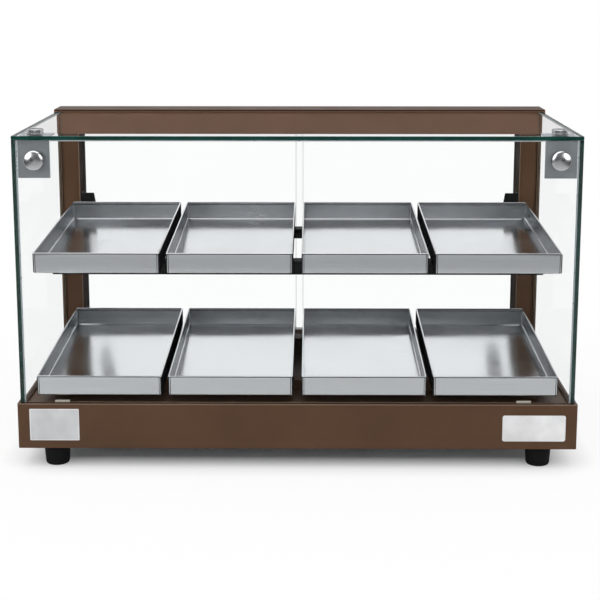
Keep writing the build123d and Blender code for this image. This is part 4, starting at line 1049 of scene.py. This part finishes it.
class CASE_OT_screws(bpy.types.Operator):
    """Every screw with its cross recess, and the plain bolts and nuts"""
    bl_idname = "case.screws"
    bl_label = "Screws, bolts and nuts"

    def execute(self, context):
        settings = context.scene.case_screws
        steel = polished_metal("screw_finish", (0.5, 0.5, 0.5), (0.28, 0.4))
        dress(("post_bolts", "foot_fixings", "button_nuts"), steel)
        head = settings.head_height
        values = {"Head Radius": settings.head_radius, "Head Height": head,
                  "Head Taper": 0.72, "Shank Radius": settings.shank_radius,
                  "Shank Length": settings.shank_length, "Sides": settings.sides,
                  "Recess Width": settings.recess_width, "Material": steel}
        plain, deck = [], []
        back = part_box("control_plate")[1].y
        deck_level = 0.06
        for low, high, middle in node_islands("pan_screws"):
            if high.y > back:
                plain.append(((middle.x, back, middle.z), (0.0, 1.0, 0.0)))
            elif middle.z > deck_level:
                deck.append(((middle.x, middle.y, high.z - head), (0.0, 0.0, 1.0)))
            else:
                plain.append(((middle.x, middle.y, low.z + head), (0.0, 0.0, -1.0)))
        cap_head = 0.0017
        rows = (("cross_screws", "pan_screws", plain, {"Seed": 4}),
                ("deck_cross_screws", "pan_screws", deck,
                 {"Seed": 6, "Material": bpy.data.materials["brown_powder_coat"]}),
                ("gusset_cross_screws", "gusset_screws",
                 side_screws("gusset_screws", -1.0, head),
                 {"Head Radius": 0.0036, "Shank Length": 0.0082, "Seed": 9}),
                ("cap_cross_screws", "end_cap_screws",
                 side_screws("end_cap_screws", 1.0, cap_head + 0.0001),
                 {"Head Radius": 0.0034, "Head Height": cap_head, "Head Taper": 0.94,
                  "Shank Radius": 0.0016, "Shank Length": 0.012, "Seed": 15}))
        tree = screw_tree()
        for name, node, spots, changes in rows:
            points = point_mesh(name + "_points", *zip(*spots))
            mesh = baked(points, tree, {**values, **changes}, name)
            add_piece(name, mesh, (), "case", (node,))
        return {"FINISHED"}


def side_screws(node, outward, height):
    """Place and aim of each screw of a node that points along X, outwards or inwards."""
    spots = []
    for low, high, middle in node_islands(node):
        way = outward if middle.x > 0 else -outward
        face = high.x if way > 0 else low.x
        spots.append(((face - way * height, middle.y, middle.z), (way, 0.0, 0.0)))
    return spots


class CASE_OT_corners(bpy.types.Operator):
    """Corner brackets, their domed buttons and washers, and the clips on the lip"""
    bl_idname = "case.corners"
    bl_label = "Corner fittings"

    def execute(self, context):
        colour = (0.74, 0.75, 0.77)
        chrome = turned_metal("turned_chrome", colour, (0.12, 0.2), 1.0)
        bright = turned_metal("turned_chrome_top", colour, (0.14, 0.22), 0.86)
        dress(("corner_bracket_left", "corner_bracket_right"),
              brushed_steel("bracket_steel", (0.5, 0.535, 0.57), (0.36, 0.46), along=0,
                            edges=0.0003))
        dress(("button_washers",), clear_seal("washer_plastic", (0.8, 0.8, 0.78), (0.25, 0.35)))
        dress(("glazing_clips",), moulded("clip_plastic", (0.58, 0.53, 0.45), (0.35, 0.45)))
        self.add_buttons("front_buttons", "front_domes", rotation(90, "X"), 0.0028, chrome)
        self.add_buttons("top_buttons", "top_domes", Matrix.Identity(4), 0.0009, bright)
        return {"FINISHED"}

    def add_buttons(self, node, name, turn, crown, finish):
        """Domed buttons with their studs, where the node's solids are."""
        bm = bmesh.new()
        turned = bm.verts.layers.float_vector.new("turned")
        rings = bm.verts.layers.float.new("radius")
        axis = turn.to_3x3() @ Vector((0, 0, 1))
        for low, high, middle in node_islands(node):
            done = set(bm.verts)
            reach = abs((high - low).dot(axis))
            foot = middle + axis * (reach / 2 - BUTTON_HEIGHT)
            place = Matrix.Translation(foot) @ turn
            lathe(bm, button_profile((high.x - low.x) / 2, crown), 72, place)
            lathe(bm, stud_profile(reach - BUTTON_HEIGHT), 28, place)
            for vert in set(bm.verts) - done:
                arm = vert.co - foot
                arm -= axis * arm.dot(axis)
                vert[rings] = arm.length
                vert[turned] = axis.cross(arm).normalized()
        add_piece(name, bm, (finish,), "case", (node,))


def button_profile(radius, crown):
    """A domed cap with a groove round it, from the middle of its foot to its crown."""
    ball = (radius ** 2 + crown ** 2) / (2 * crown)
    edge = math.degrees(math.asin((radius - 0.0006) / ball))
    dome = arc((0.0, BUTTON_HEIGHT - ball), ball, 90 - edge, 90, 10)
    profile = [(0.0, 0.0), (radius - 0.0003, 0.0), (radius, 0.0003), (radius, 0.0022),
               (radius - 0.0002, 0.0024), (radius - 0.00095, 0.0024),
               (radius - 0.00095, 0.0034), (radius - 0.0002, 0.0034), (radius, 0.0036),
               (radius, BUTTON_HEIGHT - 0.0004 - crown)]
    return profile + dome[:-1] + [(0.0, BUTTON_HEIGHT)]


def stud_profile(tail):
    """The stud behind a button, down to its tail."""
    return [(0.0, -tail), (0.0026, -tail), (0.003, -tail + 0.0004), (0.003, 0.0001),
            (0.0, 0.0001)]


class CASE_OT_seals(bpy.types.Operator):
    """Rubber channels in the base and clear beads between the panes"""
    bl_idname = "case.seals"
    bl_label = "Gaskets and beads"

    def execute(self, context):
        dress(("glazing_gaskets",), moulded("gasket_rubber", (0.012, 0.012, 0.012),
                                            (0.5, 0.65), 500.0, 0.2))
        seal = clear_seal("corner_silicone", (0.6, 0.66, 0.69), (0.25, 0.4))
        joint = bonded_joint("bonded_joint", (0.93, 0.97, 0.96))
        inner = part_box("side_glass_right")[0].x
        bm = merged_copy("silicone_beads")
        for side in (-1.0, 1.0):
            every = list(bm.verts) + list(bm.edges) + list(bm.faces)
            bmesh.ops.bisect_plane(bm, geom=every, plane_co=(side * inner, 0, 0),
                                   plane_no=(1, 0, 0), dist=1e-7)
        for each in bm.faces:
            each.material_index = 1 if abs(each.calc_center_median().x) > inner else 0
        add_piece("corner_beads", bm, (seal, joint), "case",
                  ("silicone_beads",))
        return {"FINISHED"}


class CASE_OT_doors(bpy.types.Operator):
    """Aluminium tracks of the rear doors, and their ribbed finger pulls"""
    bl_idname = "case.doors"
    bl_label = "Door tracks and pulls"

    def execute(self, context):
        dress(("door_track_top", "door_track_bottom"),
              brushed_steel("anodised_aluminium", (0.5, 0.5, 0.51), (0.3, 0.4), along=0,
                            edges=0.0003))
        plastic = moulded("pull_plastic", (0.62, 0.63, 0.64), (0.4, 0.5))
        tree = bar_tree()
        for side in ("left", "right"):
            node = "door_pull_" + side
            low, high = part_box(node)
            middle = (low + high) / 2
            pull = mesh_from(merged_copy(node), node + "_body")
            places = [(middle.x, high.y - 0.0014, middle.z + 0.006 * step)
                      for step in range(-4, 5)]
            aims = [(1.0, 0.0, 0.0)] * len(places)
            values = {"Length": high.x - low.x - 0.0078, "Width": 0.0011, "Depth": 0.0008,
                      "Material": plastic}
            ribs = baked(point_mesh(node + "_points", places, aims), tree, values,
                         node + "_rib_mesh")
            add_piece("finger_pull_" + side, joined(pull, ribs), (plastic,), "door_" + side,
                      (node,))
        return {"FINISHED"}


class CASE_OT_labels(bpy.types.Operator):
    """Two blank plates on the front of the base"""
    bl_idname = "case.labels"
    bl_label = "Blank plates"

    def execute(self, context):
        silver = moulded("plate_silver", (0.62, 0.63, 0.64), (0.34, 0.42), 900.0, 0.05)
        border = moulded("plate_border", (0.78, 0.78, 0.79), (0.3, 0.4), 900.0, 0.05)
        white = moulded("plate_white", (0.84, 0.84, 0.85), (0.32, 0.4), 900.0, 0.05)
        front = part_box("base_housing")[0].y
        inset = 0.0016
        rows = (("blank_plate_left", (-0.3675, -0.2995, 0.0402, 0.0852), 0.0012, silver, border),
                ("blank_plate_right", (0.2815, 0.3680, 0.0402, 0.0772), 0.0030, white, white))
        for name, (x0, x1, z0, z1), radius, middle, rim in rows:
            bm = bmesh.new()
            shapes = (((x0, x1, z0, z1, radius), -0.0001, 0.00022, 1),
                      ((x0 + inset, x1 - inset, z0 + inset, z1 - inset,
                        max(radius - inset, 0.0005)), 0.0, 0.0003, 0))
            for corners, near, far, index in shapes:
                done = set(bm.faces)
                plate(bm, rounded_rectangle(*corners, 5), near, far,
                      lambda u, v, depth: Vector((u, front - depth, v)))
                for each in set(bm.faces) - done:
                    each.material_index = index
            add_piece(name, bm, (middle, rim), "case")
        return {"FINISHED"}


class CASE_OT_controls(bpy.types.Operator):
    """The control plate with its numbers, the knob, the switch, the lamp and the inlet"""
    bl_idname = "case.controls"
    bl_label = "Controls and inlet"

    def execute(self, context):
        settings = context.scene.case_controls
        black = moulded("control_plastic", (0.016, 0.016, 0.017), (0.32, 0.45))
        gloss = moulded("rocker_plastic", (0.02, 0.02, 0.021), (0.2, 0.3), 400.0, 0.05)
        print_white = moulded("white_print", tuple(settings.print_white), (0.4, 0.5), 900.0,
                              0.05)
        brass = polished_metal("plated_brass", (0.6, 0.45, 0.22), (0.25, 0.38))
        nickel = polished_metal("pin_nickel", (0.6, 0.58, 0.55), (0.18, 0.3))
        dress(("control_plate",), powder_coat("plate_black_coat", (0.016, 0.016, 0.017), 0.2))
        dress(("switch_housing",), black)
        dress(("thermostat_body", "thermostat_shaft"), brass)
        dress(("rocker_button",), gloss)
        self.add_inlet(black, nickel)
        self.add_knob(settings, black, print_white)
        self.add_dial(settings, print_white)
        self.add_rocker_marks(print_white)
        self.add_lamp(black)
        return {"FINISHED"}

    def add_inlet(self, black, nickel):
        """The socket in black and its pins in nickel."""
        bm = merged_copy("power_inlet")
        for group in islands(bm):
            low, high = face_box(group)
            index = 1 if high.x - low.x < 0.004 else 0
            for each in group:
                each.material_index = index
        add_piece("mains_inlet", bm, (black, nickel), "case",
                  ("power_inlet",))

    def add_knob(self, settings, black, print_white):
        """The fluted knob, hollow for its shaft, with a white pointer line."""
        low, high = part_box("thermostat_knob")
        middle = (low + high) / 2
        skirt = (high.x - low.x) / 2
        depth = high.y - low.y
        grip = skirt - 0.0055
        place = Matrix.Translation((middle.x, low.y, middle.z)) @ rotation(-90, "X")
        profile = [(0.003, 0.0017), (0.006, 0.0017), (0.006, 0.0), (skirt - 0.0004, 0.0),
                   (skirt, 0.0004), (skirt, 0.0027)]
        profile += arc((skirt - 0.0012, 0.0028), 0.0012, 0, 80, 4)
        profile += [(grip + 0.0012, 0.0043), (grip + 0.0002, 0.0049), (grip, 0.0058),
                    (grip - 0.0004, depth - 0.0035)]
        profile += arc((grip - 0.0024, depth - 0.003), 0.002, 0, 80, 4)
        profile += [(grip - 0.0045, depth - 0.0009), (0.0065, depth - 0.0012),
                    (0.003, depth - 0.0012)]
        bm = bmesh.new()
        lathe(bm, profile, 72, place, closed=True)
        lathe(bm, [(0.0, depth - 0.0035), (0.00295, depth - 0.0035), (0.0064, depth - 0.0014),
                   (0.006, depth - 0.0004), (0.0, depth - 0.0004)], 48, place)
        ridge = [(-0.0018, 0.004), (0.0018, 0.004), (0.0015, 0.0141), (-0.0015, 0.0141)]
        plate(bm, ridge, 0.0045, depth - 0.0001, lambda u, v, w: place @ Vector((u, -v, w)))
        body = mesh_from(bm, "knob_body")
        foot, head = 0.0052, depth - 0.0035
        reach = grip - 0.0001
        turns = [2 * math.pi * (index + 0.5) / settings.flutes
                 for index in range(settings.flutes)]
        places = [place @ Vector((reach * math.cos(turn), reach * math.sin(turn),
                                  (foot + head) / 2)) for turn in turns]
        aims = [(0.0, 1.0, 0.0)] * len(places)
        values = {"Radius": 0.00055, "Length": head - foot, "Material": black}
        ribs = baked(point_mesh("flute_points", places, aims), flute_tree(), values,
                     "knob_rib_mesh")
        bm = joined(body, ribs)
        count = len(bm.faces)
        line = [(-0.0006, 0.0056), (0.0006, 0.0056), (0.0006, 0.0137), (-0.0006, 0.0137)]
        plate(bm, line, depth - 0.0002, depth, lambda u, v, w: place @ Vector((u, -v, w)))
        second_slot(bm, count)
        add_piece("fluted_knob", bm, (black, print_white), "knob",
                  ("thermostat_knob",))

    def add_dial(self, settings, print_white):
        """Ticks and numbers printed on the plate, clockwise from the top."""
        low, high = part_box("thermostat_knob")
        middle = (low + high) / 2
        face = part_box("control_plate")[1].y
        places, aims = [], []
        ticks_each = 3
        for index in range((settings.numbers - 1) * ticks_each + 1):
            turn = settings.number_step * index / ticks_each
            aim = Vector((-math.sin(turn), 0.0, math.cos(turn)))
            reach = 0.01975 if index % ticks_each else 0.01985
            places.append(Vector((middle.x, face + 0.00002, middle.z)) + aim * reach)
            aims.append(aim)
        values = {"Length": 0.0011, "Width": 0.00035, "Depth": 0.00016, "Material": print_white}
        ticks = baked(point_mesh("tick_points", places, aims), bar_tree(), values, "tick_mesh")
        meshes = [ticks]
        for number in range(settings.numbers):
            turn = settings.number_step * number
            digit = text_mesh(str(number), 0.0036)
            spot = Vector((middle.x - settings.ring * math.sin(turn), face,
                           middle.z + settings.ring * math.cos(turn)))
            digit.transform(Matrix.Translation(spot) @ rotation(180, "Z") @ rotation(90, "X"))
            meshes.append(digit)
        add_piece("dial_print", joined(*meshes), (print_white,), "case")

    def add_rocker_marks(self, print_white):
        """A bar and a ring on the two halves of the rocker."""
        source = merged_copy("rocker_button")
        tree = BVHTree.FromBMesh(source)
        low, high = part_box("rocker_button")
        middle = (low + high) / 2
        bm = bmesh.new()

        def on_rocker(height):
            def place(u, v, depth):
                start = Vector((middle.x - u, high.y + 0.01, middle.z + height + v))
                hit, normal = tree.ray_cast(start, Vector((0.0, -1.0, 0.0)))[:2]
                return hit + normal * depth
            return place

        bar = [(-0.00035, -0.0016), (0.00035, -0.0016), (0.00035, 0.0016), (-0.00035, 0.0016)]
        mark_height = 0.0038
        plate(bm, bar, PRINT_SINK, PRINT_RISE, on_rocker(-mark_height))
        place = on_rocker(mark_height)
        sides = 28
        turns = [2 * math.pi * step / sides for step in range(sides)]
        rings = [[bm.verts.new(place(radius * math.cos(turn), radius * math.sin(turn), depth))
                  for turn in turns]
                 for radius, depth in ((0.0016, PRINT_SINK), (0.0016, PRINT_RISE),
                                       (0.001, PRINT_RISE), (0.001, PRINT_SINK))]
        faces = [face for one, two in zip(rings, rings[1:] + rings[:1])
                 for face in band(bm, one, two)]
        bmesh.ops.recalc_face_normals(bm, faces=faces)
        source.free()
        add_piece("rocker_marks", bm, (print_white,), "rocker")

    def add_lamp(self, black):
        """The red lens in its black flange."""
        lens = red_lens("lamp_lens", (0.62, 0.02, 0.012))
        low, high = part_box("pilot_lamp")
        middle = (low + high) / 2
        plate_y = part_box("control_plate")[1].y
        flange = (high.x - low.x) / 2
        place = Matrix.Translation((middle.x, plate_y, middle.z)) @ rotation(-90, "X")
        back = low.y - plate_y
        bm = bmesh.new()
        lathe(bm, [(0.0, back), (0.0046, back), (0.005, back + 0.0004), (0.005, 0.0),
                   (flange, 0.0), (flange, 0.0009), (flange - 0.0006, 0.0015),
                   (0.0046, 0.0015), (0.0043, 0.0012), (0.0, 0.0012)], 56, place)
        count = len(bm.faces)
        dome = arc((0.0026, 0.0024), 0.0016, 0, 80, 5)
        lathe(bm, [(0.0, 0.0011), (0.0042, 0.0011)] + dome + [(0.0, 0.004)], 56, place)
        second_slot(bm, count)
        add_piece("heating_lamp", bm, (black, lens), "case", ("pilot_lamp",))


def text_mesh(words, size):
    """Centred raised figures as a closed mesh, lying on Z = 0."""
    curve = bpy.data.curves.new("figures", "FONT")
    curve.body = words
    curve.size = size
    curve.align_x = "CENTER"
    curve.align_y = "CENTER"
    curve.extrude = 0.0001
    curve.resolution_u = 4
    mesh = final_mesh(bpy.data.objects.new("figures", curve))
    bm = joined(mesh)
    bmesh.ops.remove_doubles(bm, verts=bm.verts, dist=0.000001)
    bmesh.ops.recalc_face_normals(bm, faces=bm.faces)
    bm.to_mesh(mesh)
    bm.free()
    return mesh


class CASE_OT_heater(bpy.types.Operator):
    """The element, bulb, terminal block and wires inside the base, and its cover"""
    bl_idname = "case.heater"
    bl_label = "Heater and wiring"

    def execute(self, context):
        dress(("bottom_cover", "heater_supports"), zinc_plate("zinc_plate", (0.42, 0.43, 0.44)))
        dress(("heating_element",), brushed_steel("element_sheath", (0.16, 0.14, 0.12),
                                                  (0.4, 0.55), along=0))
        dress(("sensing_bulb",), polished_metal("bulb_copper", (0.6, 0.3, 0.18), (0.25, 0.4)))
        dress(("terminal_block",), moulded("block_ceramic", (0.72, 0.71, 0.67), (0.4, 0.6)))
        covers = [moulded("wire_" + name, colour, (0.4, 0.5), 500.0, 0.1)
                  for name, colour in (("brown", (0.09, 0.04, 0.02)), ("blue", (0.02, 0.07, 0.3)),
                                       ("green", (0.08, 0.24, 0.03)), ("red", (0.4, 0.02, 0.02)))]
        bm = merged_copy("internal_wires")
        groups = sorted(islands(bm), key=lambda group: face_box(group)[0].x)
        for index, group in enumerate(groups):
            for each in group:
                each.material_index = index % len(covers)
        add_piece("wire_runs", bm, covers, "case", ("internal_wires",))
        return {"FINISHED"}


class CASE_OT_stage(bpy.types.Operator):
    """The pale floor, the soft lamps and the camera"""
    bl_idname = "case.stage"
    bl_label = "Stage"

    def execute(self, context):
        settings = context.scene.case_stage
        self.add_floor()
        self.add_sky(context, settings)
        self.add_lamps(context)
        camera = bpy.data.cameras.new("Camera")
        camera.lens = settings.lens
        camera.sensor_width = 36.0
        camera.shift_y = settings.shift
        camera.clip_end = 50.0
        holder = bpy.data.objects.new("Camera", camera)
        holder.location = settings.place
        holder.rotation_euler = (math.pi / 2 - settings.pitch, 0.0, settings.yaw)
        context.scene.collection.objects.link(holder)
        context.scene.camera = holder
        context.scene.view_settings.view_transform = "Standard"
        return {"FINISHED"}

    def add_floor(self):
        """A wide pale floor that keeps the shadow and turns white further out."""
        mesh = bpy.data.meshes.new("floor")
        reach = 60.0
        mesh.from_pydata([(-reach, -reach, 0), (reach, -reach, 0), (reach, reach, 0),
                          (-reach, reach, 0)], [], [(0, 1, 2, 3)])
        material, tree, shader = new_material("pale_floor")
        tree.nodes.remove(shader)
        place = add_node(tree, "ShaderNodeTexCoord").outputs["Object"]
        parts = add_node(tree, "ShaderNodeSeparateXYZ", Vector=place).outputs
        direct, mirrored = self.ray_kinds(tree)
        front = (-0.26, -0.2)
        dim = times(tree, mirrored, spread(tree, parts["Y"], 1.0, 0.0, *front))
        beside = math_node(tree, "ABSOLUTE", parts["X"])
        grey = times(tree, spread(tree, parts["Y"], 0.4, 0.62, -1.1, -0.35),
                     spread(tree, beside, 1.0, 0.15, 0.7, 1.1))
        shade = add_node(tree, "ShaderNodeMix", Factor=dim, A=0.86, B=grey)
        matt = add_node(tree, "ShaderNodeBsdfDiffuse", Color=shade.outputs[0])
        gap = self.gap_to_base(tree, place)
        near, far = 0.085, 0.6
        whiter = math_node(tree, "ADD", spread(tree, gap, 0.0, 0.9, 0.0, near),
                           spread(tree, gap, 0.0, 0.1, near, far))
        behind = times(tree, mirrored, spread(tree, parts["Y"], 0.0, 1.0, 0.6, 3.0))
        glow = add_node(tree, "ShaderNodeEmission", Color=WHITE, Strength=1.0)
        share = larger(tree, times(tree, direct, whiter), behind)
        end_with(tree, mixed(tree, share, matt.outputs[0], glow.outputs[0]))
        mesh.materials.append(material)
        floor = bpy.data.objects.new("floor", mesh)
        bpy.context.scene.collection.objects.link(floor)

    def ray_kinds(self, tree):
        """Whether a ray comes from the camera with only glass on its way, or was mirrored."""
        path = add_node(tree, "ShaderNodeLightPath").outputs
        shine = larger(tree, path["Is Glossy Ray"], path["Is Transmission Ray"])
        mirrored = times(tree, shine, math_node(tree, "MINIMUM", path["Glossy Depth"], 1.0))
        straight = math_node(tree, "SUBTRACT", shine, mirrored)
        return larger(tree, path["Is Camera Ray"], straight), mirrored

    def gap_to_base(self, tree, place):
        """Distance on the floor from the edge of the deep shadow under the base."""
        low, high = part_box("base_housing")
        shadow_inset = 0.05
        half = (high.x - shadow_inset, -low.y - shadow_inset, 0.0)
        beyond = vector_math(tree, "ABSOLUTE", place)[0]
        past = vector_math(tree, "SUBTRACT", beyond, half)[0]
        outside = vector_math(tree, "MAXIMUM", past, (0.0, 0.0, 0.0))[0]
        return vector_math(tree, "LENGTH", outside)["Value"]

    def add_sky(self, context, settings):
        """Even light all round, with a white backdrop and a dimmer room in front of it."""
        world = bpy.data.worlds.new("studio")
        world.use_nodes = True
        tree = world.node_tree
        light = tree.nodes["Background"]
        light.inputs["Color"].default_value = WHITE
        light.inputs["Strength"].default_value = settings.sky
        toward = add_node(tree, "ShaderNodeTexCoord").outputs["Generated"]
        depth = add_node(tree, "ShaderNodeSeparateXYZ", Vector=toward).outputs["Y"]
        direct, mirrored = self.ray_kinds(tree)
        room = math_node(tree, "ADD", spread(tree, depth, settings.room, 1.0, -0.1, 0.45),
                         self.soft_box(tree, toward))
        white = add_node(tree, "ShaderNodeBackground", Color=WHITE,
                         Strength=larger(tree, direct, times(tree, mirrored, room)))
        end_with(tree, mixed(tree, larger(tree, direct, mirrored), light.outputs[0],
                             white.outputs[0]), "World Output")
        context.scene.world = world

    def soft_box(self, tree, toward):
        """A bright panel high on each side of the room, seen only in polished metal."""
        wide = vector_math(tree, "ABSOLUTE", toward)[0]
        across = vector_math(tree, "DOT_PRODUCT", wide, (0.6, 0.0, 0.0))["Value"]
        along = vector_math(tree, "DOT_PRODUCT", toward, (0.0, -0.73, 0.32))["Value"]
        return spread(tree, math_node(tree, "ADD", across, along), 0.0, 2.2, 0.93, 0.965)

    def add_lamps(self, context):
        """One large soft lamp above and two weaker ones at the sides."""
        target = Vector((0.0, 0.0, 0.2))
        rows = (("top_lamp", (-0.3, -0.5, 2.2), 2.4, 26.0),
                ("left_lamp", (-2.2, -1.6, 1.4), 1.6, 9.0),
                ("right_lamp", (2.3, -1.2, 1.2), 1.6, 6.0))
        for name, place, size, power in rows:
            lamp = bpy.data.lights.new(name, "AREA")
            lamp.size = size
            lamp.energy = power
            holder = bpy.data.objects.new(name, lamp)
            holder.location = place
            aim = target - Vector(place)
            holder.rotation_euler = aim.to_track_quat("-Z", "Y").to_euler()
            context.scene.collection.objects.link(holder)


class CASE_PT_panel(bpy.types.Panel):
    """Lists the steps that dress the case"""
    bl_label = "Food Display Case"
    bl_idname = "CASE_PT_panel"
    bl_space_type = "VIEW_3D"
    bl_region_type = "UI"
    bl_category = "Display Case"

    def draw(self, context):
        layout = self.layout
        for operator in OPERATORS:
            layout.operator(operator.bl_idname)
        for name, _ in SETTINGS:
            box = layout.box()
            group = getattr(context.scene, name)
            for key in group.bl_rna.properties.keys():
                if key not in ("rna_type", "name"):
                    box.prop(group, key)


SETTINGS = (("case_glass", GlassSettings), ("case_paint", PaintSettings),
            ("case_trays", TraySettings), ("case_screws", ScrewSettings),
            ("case_controls", ControlSettings), ("case_stage", StageSettings))
OPERATORS = (CASE_OT_glass, CASE_OT_brown_metal, CASE_OT_trays, CASE_OT_shelf, CASE_OT_feet,
             CASE_OT_screws, CASE_OT_corners, CASE_OT_seals, CASE_OT_doors, CASE_OT_labels,
             CASE_OT_controls, CASE_OT_heater, CASE_OT_stage)
CLASSES = [group for _, group in SETTINGS] + [*OPERATORS, CASE_PT_panel]


def register():
    for each in CLASSES:
        bpy.utils.register_class(each)
    for name, group in SETTINGS:
        setattr(bpy.types.Scene, name, PointerProperty(type=group))


def unregister():
    for name, _ in SETTINGS:
        delattr(bpy.types.Scene, name)
    for each in reversed(CLASSES):
        bpy.utils.unregister_class(each)


def main():
    register()
    bpy.ops.case.glass()
    bpy.ops.case.brown_metal()
    bpy.ops.case.trays()
    bpy.ops.case.shelf()
    bpy.ops.case.feet()
    bpy.ops.case.screws()
    bpy.ops.case.corners()
    bpy.ops.case.seals()
    bpy.ops.case.doors()
    bpy.ops.case.labels()
    bpy.ops.case.controls()
    bpy.ops.case.heater()
    bpy.ops.case.stage()


if __name__ == "__main__":
    main()
